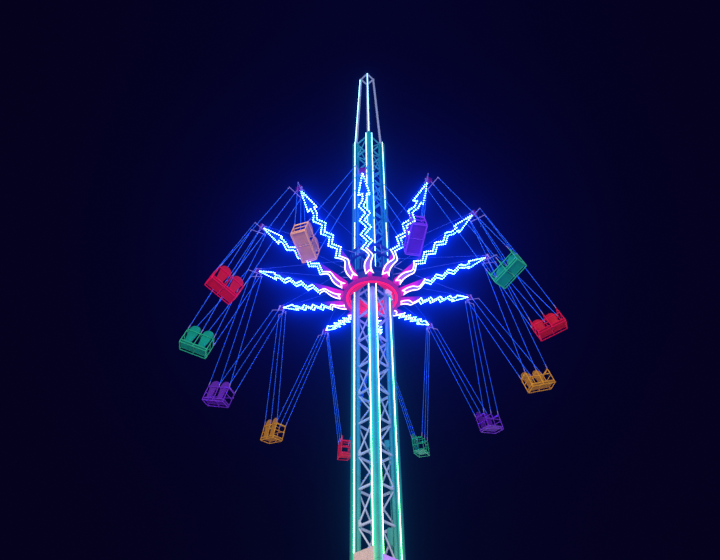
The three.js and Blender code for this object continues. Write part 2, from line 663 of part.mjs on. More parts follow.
const rotor = new THREE.Group();
rotor.rotation.z = rad(ARM_PHASE);
rotor.add(rotorRing());
rotor.add(rotorMast());
for (let number = 1; number <= ARM_COUNT; number += 1) {
  const direction = -number * ARM_STEP;
  const armMesh = arm(`arm_${twoDigits(number)}`);
  armMesh.rotation.z = rad(direction);
  rotor.add(armMesh);

  const middle = direction - ARM_STEP / 2;
  const chordRadius = PIVOT_RADIUS * Math.cos(rad(ARM_STEP / 2));
  const hingeLine = new THREE.Group();
  const bearing = rad(middle);
  hingeLine.position.set(chordRadius * Math.cos(bearing), chordRadius * Math.sin(bearing), PIVOT_LEVEL);
  hingeLine.rotation.z = rad(middle - FACE_TURN);
  const swing = new THREE.Group();
  swing.rotation.x = rad(SWING_REST);
  swing.add(hanger(`hanger_${twoDigits(number)}`));
  swing.add(seat(`seat_${twoDigits(number)}`, SEAT_PAINTS[number % SEAT_PAINTS.length]));
  hingeLine.add(swing);
  rotor.add(hingeLine);
}
ride.add(rotor);

export default ride;
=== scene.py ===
"""Looks of the tower chair swing ride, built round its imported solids. Metres, +Z up."""
import math

import bpy
import numpy as np
from mathutils import Matrix, Vector


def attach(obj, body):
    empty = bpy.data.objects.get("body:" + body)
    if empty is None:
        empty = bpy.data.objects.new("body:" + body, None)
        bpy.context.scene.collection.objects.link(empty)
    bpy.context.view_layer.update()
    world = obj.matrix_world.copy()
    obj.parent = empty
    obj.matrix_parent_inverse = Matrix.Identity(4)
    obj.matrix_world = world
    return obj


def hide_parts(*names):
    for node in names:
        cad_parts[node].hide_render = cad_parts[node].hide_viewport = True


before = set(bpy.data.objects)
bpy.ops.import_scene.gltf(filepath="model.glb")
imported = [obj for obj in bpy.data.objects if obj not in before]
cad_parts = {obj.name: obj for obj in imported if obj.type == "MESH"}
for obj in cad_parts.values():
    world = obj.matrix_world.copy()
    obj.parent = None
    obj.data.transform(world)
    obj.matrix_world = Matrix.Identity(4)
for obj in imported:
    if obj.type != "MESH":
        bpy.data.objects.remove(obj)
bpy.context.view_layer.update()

# Sizes that the looks share with the solids
REST_GAP = 0.0003
BASE_TOP, RIBBED_TOP, PLAIN_TOP = 0.040, 5.65, 5.51
BAY = 0.743
FIRST_LEVEL = 0.215
RAIL_LIFT = 0.022
BAYS = 24
TOWER_TOP = 18.770
CROWN_TOP = 22.885
CORNER_RADIUS = 0.512
FACE_PLANE = CORNER_RADIUS / math.sqrt(2)
LEG_WIDTH, LEG_THICK = 0.142, 0.012
CHORD_MIDDLE, CHORD_REACH = 0.350, 0.049
BRACE_PLANE = 0.262
CHANNEL_BACK, CHANNEL_DEPTH, CHANNEL_WIDTH, CHANNEL_WALL = FACE_PLANE + REST_GAP, 0.014, 0.028, 0.005
CHANNEL_MIDDLE = FACE_PLANE - 0.117
SPLICE = (14.84, 15.44)
SECTION_ENDS = [FIRST_LEVEL + BAY * bays for bays in (7, 13, 20)]
CORNERS = {"near": -90.0, "right": 0.0, "far": 90.0, "left": 180.0}
FACES = [-45.0, 45.0, 135.0, 225.0]

ARMS = 12
ARM_STEP = 30.0
ARM_PHASE = -95.3
ROOT_RADIUS, ROOT_LEVEL = 0.768, 12.177
TIP_RADIUS, TIP_LEVEL = 3.000, 13.270
ARM_FOOT_TOP = 12.262
ARM_SLOPE = math.atan2(TIP_LEVEL - ROOT_LEVEL, TIP_RADIUS - ROOT_RADIUS)
ARM_LENGTH = math.hypot(TIP_LEVEL - ROOT_LEVEL, TIP_RADIUS - ROOT_RADIUS)
BOARD_THICK, BOARD_DROP = 0.020, 0.012
PIVOT_RADIUS, PIVOT_LEVEL = 3.060, 13.290
BRACKET_HALF = 0.070

SLEEVE_IN, SLEEVE_OUT, BEARING_OUT = 0.520, 0.564, 0.579
SLEEVE_BOTTOM, SLEEVE_TOP, SLEEVE_RING = 12.440, 13.500, 0.080
GUIDE_BOTTOM = 12.000
RING_OUT, RING_IN, RING_BOTTOM, RING_TOP = 0.735, 0.585, 12.040, 12.116
RED_EDGE, COVER_LEVEL = 0.652, 12.130
COLLAR_IN, COLLAR_OUT, COLLAR_BOTTOM, COLLAR_TOP = 0.552, 0.600, 13.100, 13.165

SWING_LENGTH, SWING_REST = 3.552, 17.8
SEAT_WIDTH, SEAT_DEPTH, SEAT_TUBE = 0.640, 0.300, 0.020
SEAT_DROP, SEAT_TOP, SIDE_BAR, LAP_BAR = 0.064, 0.335, 0.165, 0.205
SPREADER_HALF, SPREADER_DROP = 0.195, 0.140
PIN_OFFSET = (PIVOT_RADIUS * math.sin(math.radians(ARM_STEP / 2))
              - BRACKET_HALF * math.cos(math.radians(ARM_STEP / 2)))
SPREADER_X = PIN_OFFSET - 0.0083


SHARP_ANGLE = 35.0
CURVE_STEPS, CORNER_STEPS = 5, 4


def linked(name, data):
    """A new object in the scene."""
    thing = bpy.data.objects.new(name, data)
    bpy.context.scene.collection.objects.link(thing)
    return thing


# Shapes: each function adds closed parts to a Form
class Form:
    """Points, faces and texture coordinates of one shape, gathered part by part."""

    def __init__(self):
        self.points = []
        self.faces = []
        self.uvs = []

    def add(self, points, faces, uvs, place=None):
        """Add one part, moved to its place."""
        start = len(self.points)
        self.points += [tuple(place @ Vector(p)) if place else tuple(p) for p in points]
        self.faces += [tuple(start + i for i in face) for face in faces]
        self.uvs += uvs

    def piece(self, name):
        """An object of the whole shape, smooth but for its edges."""
        mesh = bpy.data.meshes.new(name)
        mesh.from_pydata(self.points, [], self.faces)
        layer = mesh.uv_layers.new(name="UVMap")
        flat = [value for face in self.uvs for pair in face for value in pair]
        layer.data.foreach_set("uv", flat)
        mesh.polygons.foreach_set("use_smooth", [True] * len(mesh.polygons))
        mesh.update()
        mesh.set_sharp_from_angle(angle=math.radians(SHARP_ANGLE))
        return linked(name, mesh)


def round_profile(radius, sides=12):
    """A circle as points, the first one on the X axis."""
    return [(radius * math.cos(math.tau * i / sides), radius * math.sin(math.tau * i / sides))
            for i in range(sides)]


def box_profile(width, height, corner, flats=2):
    """A rectangle with each corner rounded by small flats."""
    profile = []
    for sx, sy, turn in ((1, 1, 0), (-1, 1, 90), (-1, -1, 180), (1, -1, 270)):
        cx, cy = sx * (width / 2 - corner), sy * (height / 2 - corner)
        for step in range(flats + 1):
            angle = math.radians(turn + 90 / flats * step)
            profile.append((cx + corner * math.cos(angle), cy + corner * math.sin(angle)))
    return profile


def rectangle(low, high):
    """The corners of a rectangle between two opposite ones."""
    return [low, (high[0], low[1]), high, (low[0], high[1])]


def rim_profile(inner, outer, low, high, ease):
    """Section of a ring whose outer edges are eased."""
    return [(inner, low), (outer - ease, low), (outer, low + ease), (outer, high - ease),
            (outer - ease, high), (inner, high)]


def frames_along(path, closed, up):
    """Side, over and forward directions at each point of a path, with the mitre that each bend needs."""
    count = len(path)
    steps = [(path[(i + 1) % count] - path[i]).normalized() for i in range(count if closed else count - 1)]
    frames = []
    side = None
    for i in range(count):
        before = steps[i - 1] if closed or i > 0 else steps[0]
        after = steps[i] if closed or i < count - 1 else steps[-1]
        forward = (before + after).normalized()
        if up is not None:
            side = Vector(up).cross(forward).normalized()
        elif side is None:
            helper = Vector((0, 0, 1)) if abs(forward.z) < 0.9 else Vector((1, 0, 0))
            side = helper.cross(forward).normalized()
        else:
            side = (side - forward * side.dot(forward)).normalized()
        over = forward.cross(side)
        bend = after - before
        mitre = 1.0 / max(0.25, forward.dot(before))
        frames.append((side, over, bend.normalized() if bend.length > 1e-6 else None, mitre, forward))
    return frames


def sweep(form, path, profile, closed=False, up=None, chamfer=0.0, place=None):
    """Carry a closed profile along a path; open ends are capped and, with a chamfer, eased."""
    path = [Vector(p) for p in path]
    frames = frames_along(path, closed, up)
    reach_u = max(abs(u) for u, _ in profile)
    reach_v = max(abs(v) for _, v in profile)
    rings = [(point, step, 1.0, 1.0) for point, step in zip(path, frames)]
    if not closed and chamfer > 0:
        small = (1 - chamfer / reach_u, 1 - chamfer / reach_v)
        first, last = rings[0], rings[-1]
        rings[0] = (first[0] + first[1][4] * chamfer, first[1], 1.0, 1.0)
        rings[-1] = (last[0] - last[1][4] * chamfer, last[1], 1.0, 1.0)
        rings = [(first[0], first[1], *small)] + rings + [(last[0], last[1], *small)]
    points, along, travelled = [], [], 0.0
    previous = rings[0][0]
    for origin, (side, over, bend, mitre, _), su, sv in rings:
        travelled += (origin - previous).length
        previous = origin
        along.append(travelled)
        for u, v in profile:
            offset = side * (u * su) + over * (v * sv)
            if bend is not None:
                offset += bend * (bend.dot(offset) * (mitre - 1.0))
            points.append(origin + offset)
    count = len(profile)
    around = [0.0]
    for j in range(count):
        a, b = profile[j], profile[(j + 1) % count]
        around.append(around[-1] + math.hypot(b[0] - a[0], b[1] - a[1]))
    faces, uvs = [], []
    spans = len(rings) if closed else len(rings) - 1
    if closed:
        along.append(travelled + (rings[0][0] - rings[-1][0]).length)
    for i in range(spans):
        low, high = i * count, ((i + 1) % len(rings)) * count
        for j in range(count):
            k = (j + 1) % count
            faces.append((low + j, low + k, high + k, high + j))
            uvs.append([(around[j], along[i]), (around[j + 1], along[i]),
                        (around[j + 1], along[i + 1]), (around[j], along[i + 1])])
    if not closed:
        last = (len(rings) - 1) * count
        faces.append(tuple(reversed(range(count))))
        uvs.append([profile[j] for j in reversed(range(count))])
        faces.append(tuple(range(last, last + count)))
        uvs.append([profile[j] for j in range(count)])
    form.add(points, faces, uvs, place)


def bar(form, start, end, width, height, corner=0.003, up=None, place=None):
    """A straight rectangular bar with eased edges and ends."""
    sweep(form, [start, end], box_profile(width, height, corner), up=up, chamfer=corner / 2, place=place)


def rod(form, start, end, radius, sides=12):
    """A straight round bar with eased ends."""
    sweep(form, [start, end], round_profile(radius, sides), chamfer=radius * 0.15)


def runs_left(outline):
    """True where an outline runs counter-clockwise."""
    return sum(a[0] * b[1] - b[0] * a[1] for a, b in zip(outline, outline[1:] + outline[:1])) > 0


def inset(outline, depth):
    """The outline moved inwards by a depth, mitred at its corners."""
    count = len(outline)
    turn = 1.0 if runs_left(outline) else -1.0
    moved = []
    for i in range(count):
        before = Vector(outline[i]) - Vector(outline[i - 1])
        after = Vector(outline[(i + 1) % count]) - Vector(outline[i])
        n0 = Vector((-before.y, before.x)).normalized() * turn
        n1 = Vector((-after.y, after.x)).normalized() * turn
        middle = (n0 + n1).normalized()
        moved.append(tuple(Vector(outline[i]) + middle * (depth / max(0.35, middle.dot(n0)))))
    return moved


def plate(form, outline, thickness, place, bevel=0.0015):
    """A flat plate with eased rims; its back lies at zero and its front at its thickness."""
    small = inset(outline, bevel)
    count = len(outline)
    if not runs_left(outline):
        outline, small = outline[::-1], small[::-1]
    levels = [(small, 0.0), (outline, bevel), (outline, thickness - bevel), (small, thickness)]
    points = [(x, y, z) for ring_points, z in levels for x, y in ring_points]
    faces = [tuple(reversed(range(count))), tuple(range(3 * count, 4 * count))]
    uvs = [[small[i] for i in reversed(range(count))], list(small)]
    for level in range(3):
        low, high = level * count, (level + 1) * count
        for i in range(count):
            k = (i + 1) % count
            faces.append((low + i, low + k, high + k, high + i))
            uvs.append([(points[n][0] + points[n][1], points[n][2])
                        for n in (low + i, low + k, high + k, high + i)])
    form.add(points, faces, uvs, place)


def lathe(form, profile, segments=48, closed=True, place=None):
    """Turn a profile of radius and height round the upright axis; a closed one makes a ring."""
    count = len(profile)
    points = [(r * math.cos(math.tau * s / segments), r * math.sin(math.tau * s / segments), z)
              for s in range(segments) for r, z in profile]
    faces, uvs = [], []
    for s in range(segments):
        low, high = s * count, ((s + 1) % segments) * count
        for i in range(count if closed else count - 1):
            k = (i + 1) % count
            corners = (low + i, high + i, high + k, low + k)
            radius = max(profile[i][0], profile[k][0])
            a, b = math.tau * s / segments * radius, math.tau * (s + 1) / segments * radius
            uvs.append([(a, profile[i][1]), (b, profile[i][1]), (b, profile[k][1]), (a, profile[k][1])])
            faces.append(corners)
    if not closed:
        faces.append(tuple(reversed([s * count for s in range(segments)])))
        uvs.append([(points[n][0], points[n][1]) for n in faces[-1]])
        faces.append(tuple(s * count + count - 1 for s in range(segments)))
        uvs.append([(points[n][0], points[n][1]) for n in faces[-1]])
    form.add(points, faces, uvs, place)


def stacked(form, rings):
    """Join rings of equal count, one above the other, and close both ends."""
    count = len(rings[0])
    points = [point for ring in rings for point in ring]
    faces = [tuple(reversed(range(count)))]
    for level in range(len(rings) - 1):
        low, high = level * count, (level + 1) * count
        for i in range(count):
            k = (i + 1) % count
            faces.append((low + i, low + k, high + k, high + i))
    faces.append(tuple(range((len(rings) - 1) * count, len(rings) * count)))
    form.add(points, faces, [[(points[i][0], points[i][1]) for i in face] for face in faces])


def box_shape(form, low, high, bevel=0.002, place=None):
    """A box with eased edges between two corners."""
    (x0, y0, z0), (x1, y1, z1) = low, high
    lift = Matrix.Translation((0, 0, z0))
    plate(form, rectangle((x0, y0), (x1, y1)), z1 - z0, (place @ lift) if place else lift, bevel)


# Places
def turn_z(degrees):
    """A turn about Z."""
    return Matrix.Rotation(math.radians(degrees), 4, "Z")


def turn_x(degrees):
    """A turn about X."""
    return Matrix.Rotation(math.radians(degrees), 4, "X")


def shift(x, y, z):
    """A move without a turn."""
    return Matrix.Translation((x, y, z))


def axes(x_axis, y_axis, z_axis, origin=(0, 0, 0)):
    """A place whose own X, Y and Z lie along the given directions."""
    matrix = Matrix.Identity(4)
    for column, axis in enumerate((x_axis, y_axis, z_axis)):
        for row in range(3):
            matrix[row][column] = axis[row]
    matrix.translation = Vector(origin)
    return matrix


def upright(forward=0.0):
    """A place whose Y runs up and whose Z looks along -Y, moved along Y."""
    return axes((1, 0, 0), (0, 0, 1), (0, -1, 0), (0, forward, 0))


def facing(origin, normal):
    """A place at a point whose Z looks along a direction."""
    return shift(*origin) @ Vector(normal).to_track_quat("Z", "Y").to_matrix().to_4x4()


def arm_place(number):
    """From an arm that lies along X to where the numbered arm is."""
    return turn_z(ARM_PHASE - number * ARM_STEP)


ARM_PLACES = [arm_place(number) for number in range(1, ARMS + 1)]


def board_place():
    """From the light board's own plane to an arm that lies along X."""
    return shift(ROOT_RADIUS, 0, ROOT_LEVEL) @ Matrix.Rotation(-ARM_SLOPE, 4, "Y")


def chair_place(number):
    """From the swing's own frame to where the numbered chair flies."""
    middle = math.radians(ARM_PHASE - number * ARM_STEP - ARM_STEP / 2)
    chord = PIVOT_RADIUS * math.cos(math.radians(ARM_STEP / 2))
    hinge = shift(chord * math.cos(middle), chord * math.sin(middle), PIVOT_LEVEL)
    return hinge @ Matrix.Rotation(middle - math.pi / 2, 4, "Z") @ turn_x(SWING_REST)


# Geometry Nodes: one shape repeated at marked points
def repeat_tree():
    """The node group that sets a shape at each point, turned by the point's own angles."""
    tree = bpy.data.node_groups.new("repeat_shape", "GeometryNodeTree")
    face = tree.interface
    face.new_socket("Points", in_out="INPUT", socket_type="NodeSocketGeometry")
    face.new_socket("Shape", in_out="INPUT", socket_type="NodeSocketObject")
    face.new_socket("Finish", in_out="INPUT", socket_type="NodeSocketMaterial")
    face.new_socket("Geometry", in_out="OUTPUT", socket_type="NodeSocketGeometry")
    nodes, links = tree.nodes, tree.links
    inputs, output = nodes.new("NodeGroupInput"), nodes.new("NodeGroupOutput")
    shape = nodes.new("GeometryNodeObjectInfo")
    shape.inputs["As Instance"].default_value = True
    turn = nodes.new("GeometryNodeInputNamedAttribute")
    turn.data_type = "FLOAT_VECTOR"
    turn.inputs["Name"].default_value = "turn"
    spin = nodes.new("FunctionNodeEulerToRotation")
    place = nodes.new("GeometryNodeInstanceOnPoints")
    solid = nodes.new("GeometryNodeRealizeInstances")
    finish = nodes.new("GeometryNodeSetMaterial")
    links.new(inputs.outputs["Points"], place.inputs["Points"])
    links.new(inputs.outputs["Shape"], shape.inputs["Object"])
    links.new(shape.outputs["Geometry"], place.inputs["Instance"])
    links.new(turn.outputs["Attribute"], spin.inputs["Euler"])
    links.new(spin.outputs["Rotation"], place.inputs["Rotation"])
    links.new(place.outputs["Instances"], solid.inputs["Geometry"])
    links.new(solid.outputs["Geometry"], finish.inputs["Geometry"])
    links.new(inputs.outputs["Finish"], finish.inputs["Material"])
    links.new(finish.outputs["Geometry"], output.inputs["Geometry"])
    return tree


REPEAT = repeat_tree()


def repeated(name, shape, places, material):
    """Set one Form at every place and return the whole as one plain mesh object."""
    template = shape.piece(name + "_shape")
    cloud = bpy.data.meshes.new(name + "_points")
    cloud.from_pydata([tuple(p.translation) for p in places], [], [])
    angles = cloud.attributes.new("turn", "FLOAT_VECTOR", "POINT")
    angles.data.foreach_set("vector", [v for p in places for v in p.to_euler("XYZ")])
    holder = linked(name, cloud)
    modifier = holder.modifiers.new("repeat", "NODES")
    modifier.node_group = REPEAT
    sockets = {item.name: item.identifier for item in REPEAT.interface.items_tree if item.in_out == "INPUT"}
    modifier[sockets["Shape"]] = template
    modifier[sockets["Finish"]] = material
    graph = bpy.context.evaluated_depsgraph_get()
    made = bpy.data.meshes.new_from_object(holder.evaluated_get(graph), depsgraph=graph)
    made.name = name
    holder.modifiers.remove(modifier)
    bpy.data.objects.remove(holder)
    bpy.data.objects.remove(template)
    return linked(name, made)


def mount(thing, body, nodes=()):
    """Tie a finished piece to its moving body and the solids it stands for."""
    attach(thing, body)
    if nodes:
        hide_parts(*nodes)


def single(name, form, material, body, nodes=()):
    """Make one piece from a Form whose points are already in place."""
    thing = form.piece(name)
    thing.data.materials.append(material)
    mount(thing, body, nodes)


def many(name, form, places, material, body, nodes=()):
    """Make one piece from a Form that is set at every place."""
    mount(repeated(name, form, places, material), body, nodes)


# Finishes
class Finish:
    """A node material that is built up step by step."""

    def __init__(self, name):
        self.material = bpy.data.materials.new(name)
        self.material.use_nodes = True
        self.tree = self.material.node_tree
        self.tree.nodes.clear()
        self.out = self.node("ShaderNodeOutputMaterial")
        self.shader = self.node("ShaderNodeBsdfPrincipled")
        self.tree.links.new(self.shader.outputs["BSDF"], self.out.inputs["Surface"])
        self.where = self.node("ShaderNodeTexCoord")

    def node(self, kind, inputs=None, **settings):
        """A new node with its settings, and its inputs linked or filled in."""
        node = self.tree.nodes.new(kind)
        for key, value in settings.items():
            setattr(node, key, value)
        for key, value in (inputs or {}).items():
            if isinstance(value, bpy.types.NodeSocket):
                self.tree.links.new(value, node.inputs[key])
            else:
                node.inputs[key].default_value = value
        return node

    def mapped(self, scale):
        """Object coordinates, stretched."""
        source = self.where.outputs["Object"]
        return self.node("ShaderNodeMapping", {"Vector": source, "Scale": scale}).outputs["Vector"]

    def noise(self, vector, scale, detail=4.0, rough=0.55):
        """Cloudy noise from 0 to 1."""
        return self.node("ShaderNodeTexNoise", {"Vector": vector, "Scale": scale, "Detail": detail,
                                               "Roughness": rough}).outputs["Fac"]

    def ramp(self, fac, stops):
        """A colour ramp with the given positions and colours."""
        node = self.node("ShaderNodeValToRGB", {"Fac": fac})
        ramp = node.color_ramp
        while len(ramp.elements) < len(stops):
            ramp.elements.new(0.5)
        for element, (position, colour) in zip(ramp.elements, stops):
            element.position = position
            element.color = (*colour, 1.0) if len(colour) == 3 else colour
        return node.outputs["Color"]

    def mix(self, fac, first, second, blend="MIX"):
        """Two colours mixed by a factor."""
        colours = [value if isinstance(value, bpy.types.NodeSocket) else (*value, 1.0)
                   for value in (first, second)]
        return self.node("ShaderNodeMix", {0: fac, 6: colours[0], 7: colours[1]}, data_type="RGBA",
                         blend_type=blend).outputs[2]

    def math(self, operation, first, second=0.0):
        """One sum of two values."""
        return self.node("ShaderNodeMath", {0: first, 1: second}, operation=operation).outputs[0]

    def span(self, value, low, high, to_low=0.0, to_high=1.0):
        """Stretch a value from one range to another, and clamp it there."""
        return self.node("ShaderNodeMapRange", {"Value": value, "From Min": low, "From Max": high,
                                                "To Min": to_low, "To Max": to_high}).outputs["Result"]

    def travel(self, along):
        """Height above the ground, or reach from the tower's middle."""
        place = self.node("ShaderNodeSeparateXYZ", {"Vector": self.where.outputs["Object"]})
        if along == "height":
            return place.outputs["Z"]
        flat = self.node("ShaderNodeCombineXYZ", {"X": place.outputs["X"], "Y": place.outputs["Y"]})
        return self.node("ShaderNodeVectorMath", {0: flat.outputs["Vector"]},
                         operation="LENGTH").outputs["Value"]

    def stepped(self, travel, stops):
        """A colour ramp whose stops are given in metres."""
        low, high = stops[0][0], stops[-1][0]
        return self.ramp(self.span(travel, low, high), [((s - low) / (high - low), c) for s, c in stops])

    def bump(self, height, strength, distance):
        """Fine relief in the finish."""
        node = self.node("ShaderNodeBump", {"Height": height, "Strength": strength, "Distance": distance})
        self.tree.links.new(node.outputs["Normal"], self.shader.inputs["Normal"])

    def set(self, **values):
        """Fill in or link the surface's own values."""
        names = {"base": "Base Color", "rough": "Roughness", "metal": "Metallic", "coat": "Coat Weight",
                 "coat_rough": "Coat Roughness", "glow": "Emission Color", "power": "Emission Strength",
                 "spec": "Specular IOR Level"}
        for key, value in values.items():
            socket = self.shader.inputs[names[key]]
            if isinstance(value, bpy.types.NodeSocket):
                self.tree.links.new(value, socket)
            else:
                socket.default_value = (*value, 1.0) if isinstance(value, tuple) else value


def shade(colour, factor):
    """The colour made darker or lighter."""
    return tuple(min(1.0, c * factor) for c in colour)


def weathered(f, tone, dark, rough, metal, chip, grime):
    """Lay rain streaks, sparse chips and a fine orange-peel surface over a paint's tone."""
    place = f.where.outputs["Object"]
    streaks = f.noise(f.mapped((22.0, 22.0, 1.1)), 1.0, 6, 0.65)
    stained = f.mix(f.span(streaks, 0.56, 0.78, 0.0, grime), tone, dark)
    speckle = f.noise(place, 140.0, 2)
    chips = f.span(f.noise(place, 36.0, 6, 0.7), 0.66, 0.69)
    f.set(base=f.mix(chips, stained, chip), metal=metal, spec=0.12)
    f.set(rough=f.math("ADD", f.span(streaks, 0.3, 0.8, rough - 0.08, rough + 0.16),
                       f.math("MULTIPLY", chips, 0.15)))
    f.bump(f.math("ADD", f.math("MULTIPLY", speckle, 0.6), f.noise(place, 26.0, 3)), 0.25, 0.0012)
    return streaks


def painted_steel(name, colour, rough=0.42, metal=0.2, grime=0.5, lit=None):
    """Sprayed paint on steel, with an uneven tone; lit gives it a painted glow, painted light of the lamps on
    the steel.
    """
    f = Finish(name)
    tone = f.ramp(f.noise(f.where.outputs["Object"], 2.3, 5),
                  [(0.3, shade(colour, 0.82)), (0.7, shade(colour, 1.12))])
    chip = tuple(0.5 * c + 0.02 for c in colour)
    streaks = weathered(f, tone, shade(colour, 0.42), rough, metal, chip, grime)
    if lit:
        # Painted light: the steel glows in the lamps' colour, stronger along the streaks.
        f.set(glow=f.mix(streaks, shade(lit[0], 0.75), lit[0]), power=lit[1])
    return f.material


def painted_lamp_light_steel(name, stops, glow, along="height", faces=None, spill=None, rough=0.42, metal=0.15,
                 grime=0.5):
    """Painted steel that carries painted light of coloured lamps: its tone follows the height or the reach,
    and it glows in that tone.
    Faces gives one painted light tint for each pair of faces of the tower, up to the ring; spill is the
    strips' light painted on the steel beside them, and with it the outer corners of the left and right
    columns are darkened as painted shade."""
    f = Finish(name)
    travel = f.travel(along)
    tone = f.stepped(travel, stops)
    # Painted light: up to the ring, each pair of faces takes its own tint by the way it faces.
    if faces:
        tilt = f.node("ShaderNodeSeparateXYZ", {"Vector": f.where.outputs["Normal"]})
        crossed = f.math("MULTIPLY", tilt.outputs["X"], tilt.outputs["Y"])
        side = f.span(crossed, -0.25, 0.25)
        below = f.span(travel, 11.6, 12.4, 1.0, 0.0)
        face_light_tint = f.mix(side, tuple(faces[0]), tuple(faces[1]))
        tone = f.mix(below, tone, f.mix(1.0, tone, face_light_tint, "MULTIPLY"))
    cloud = f.noise(f.where.outputs["Object"], 2.3, 5)
    mottled_and_shaded = f.mix(f.span(cloud, 0.3, 0.7, 0.25, 0.0), tone, (0.0, 0.0, 0.0))
    if spill:
        place = f.node("ShaderNodeSeparateXYZ", {"Vector": f.where.outputs["Object"]})
        x, y = place.outputs["X"], place.outputs["Y"]
        # Painted shade: the outer corners of the left and right columns are darkened to near black.
        mottled_and_shaded = f.mix(f.span(f.math("ABSOLUTE", x), 0.415, 0.445, 0.0, 0.62), mottled_and_shaded, (0.0, 0.02, 0.02))
    dark = shade(stops[0][1], 0.30)
    streaks = weathered(f, mottled_and_shaded, dark, rough, metal, shade(stops[-1][1], 0.5), grime)
    # Painted light: the steel glows in its own tone, more along the streaks.
    light = f.mix(streaks, (0.0, 0.0, 0.0), mottled_and_shaded)
    light = f.mix(1.0, light, (glow, glow, glow), "MULTIPLY")
    if spill:
        # Painted light: the strips' spill glows on the steel beside each channel.
        one = f.math("ABSOLUTE", f.math("ADD", x, y))
        two = f.math("ABSOLUTE", f.math("SUBTRACT", x, y))
        across = f.math("MULTIPLY", f.math("MINIMUM", one, two), math.sqrt(0.5))
        out = f.math("MULTIPLY", f.math("MAXIMUM", one, two), math.sqrt(0.5))
        near = f.span(f.math("ABSOLUTE", f.math("SUBTRACT", across, CHANNEL_MIDDLE)), 0.012, 0.105, 1.0, 0.0)
        outside = f.span(out, FACE_PLANE - 0.014, FACE_PLANE - 0.006)
        amount = f.math("MULTIPLY", f.math("POWER", near, 1.5), outside)
        light = f.mix(amount, light, f.stepped(travel, spill), "ADD")
    f.set(glow=light, power=1.0)
    return f.material


def bare_steel(name, colour, rough=0.3, lit=None):
    """Drawn or galvanised steel: fine lengthwise scratches and dull patches; lit gives it a painted glow,
    painted light of the lamps on the steel.
    """
    f = Finish(name)
    place = f.where.outputs["Object"]
    patches = f.noise(place, 34.0, 3)
    lines = f.noise(f.mapped((260.0, 260.0, 14.0)), 1.0, 3, 0.7)
    f.set(base=f.mix(patches, shade(colour, 0.72), shade(colour, 1.15)), metal=0.85)
    f.set(rough=f.math("ADD", f.span(lines, 0.3, 0.7, rough - 0.1, rough + 0.1),
                       f.math("MULTIPLY", patches, 0.1)))
    f.bump(lines, 0.18, 0.0008)
    if lit:
        # Painted light: the steel glows in the lamps' colour, patchy like its tone.
        f.set(glow=f.mix(patches, shade(lit[0], 0.7), lit[0]), power=lit[1])
    return f.material


def moulded_plastic(name, colour):
    """Rotomoulded seat shell: fine leather-like grain, scuffs, slightly faded high spots."""
    f = Finish(name)
    place = f.where.outputs["Object"]
    cells = f.node("ShaderNodeTexVoronoi", {"Vector": place, "Scale": 420.0}, feature="F1")
    grain = cells.outputs["Distance"]
    cloud = f.noise(place, 7.0, 4)
    scuffs = f.noise(f.mapped((60.0, 18.0, 60.0)), 1.0, 8, 0.72)
    scuffed = f.span(scuffs, 0.60, 0.74, 0.0, 0.45)
    tone = f.ramp(cloud, [(0.3, shade(colour, 0.86)), (0.72, shade(colour, 1.1))])
    worn = tuple(0.7 * c + 0.05 for c in colour)
    f.set(base=f.mix(scuffed, tone, worn), coat=0.02, coat_rough=0.4, spec=0.1)
    f.set(rough=f.span(scuffs, 0.3, 0.8, 0.45, 0.66))
    f.bump(f.math("ADD", grain, f.math("MULTIPLY", scuffs, 0.5)), 0.22, 0.0009)
    return f.material


def wire_rope(name, colour, glow):
    """Laid wire rope in a tinted sleeve: slanting strands all the way along, with painted shade in the
    grooves between them and a painted highlight on their crests; it also glows in its tone as painted light
    of the lamps.
    """
    f = Finish(name)
    uv = f.node("ShaderNodeSeparateXYZ", {"Vector": f.where.outputs["UV"]})
    slant = f.math("ADD", f.math("MULTIPLY", uv.outputs["Y"], 380.0),
                   f.math("MULTIPLY", uv.outputs["X"], 860.0))
    strands = f.math("SINE", slant)
    # Painted shade in the grooves between the strands and a painted highlight on their crests.
    stops = [(0.05, shade(colour, 0.35)), (0.5, colour), (1.0, shade(colour, 1.35))]
    tone = f.ramp(f.span(strands, -1.0, 1.0), stops)
    patches = f.noise(f.where.outputs["Object"], 9.0, 4)
    f.set(base=f.mix(f.span(patches, 0.45, 0.75, 0.0, 0.4), tone, shade(colour, 0.6)), metal=0.35, rough=0.38)
    # Painted light: the rope glows in its own tone.
    f.set(glow=tone, power=glow)
    f.bump(strands, 0.6, 0.0012)
    return f.material


def lamp_glow(name, stops, power, pitch=0.0, along="height"):
    """Lit diffuser: colour by height or reach, brighter at each lamp behind it."""
    f = Finish(name)
    travel = f.travel(along)
    colour = f.stepped(travel, stops)
    cells = f.noise(f.where.outputs["Object"], 60.0, 2)
    strength = f.span(cells, 0.3, 0.7, 0.92 * power, 1.08 * power)
    if pitch:
        step = f.math("PINGPONG", travel, pitch / 2)
        between_lamps = 0.6
        strength = f.math("MULTIPLY", strength, f.span(step, 0.0, pitch / 2, 1.0, between_lamps))
    f.set(base=colour, rough=0.6, spec=0.1, glow=colour, power=strength)
    return f.material


def black_rubber(name):
    """Tyre rubber, dusty in patches."""
    f = Finish(name)
    place = f.where.outputs["Object"]
    dust = f.noise(place, 45.0, 5)
    f.set(base=f.ramp(dust, [(0.35, (0.012, 0.012, 0.014)), (0.8, (0.07, 0.065, 0.06))]))
    f.set(rough=f.span(dust, 0.2, 0.8, 0.62, 0.85))
    f.bump(f.noise(place, 300.0, 2), 0.3, 0.0008)
    return f.material


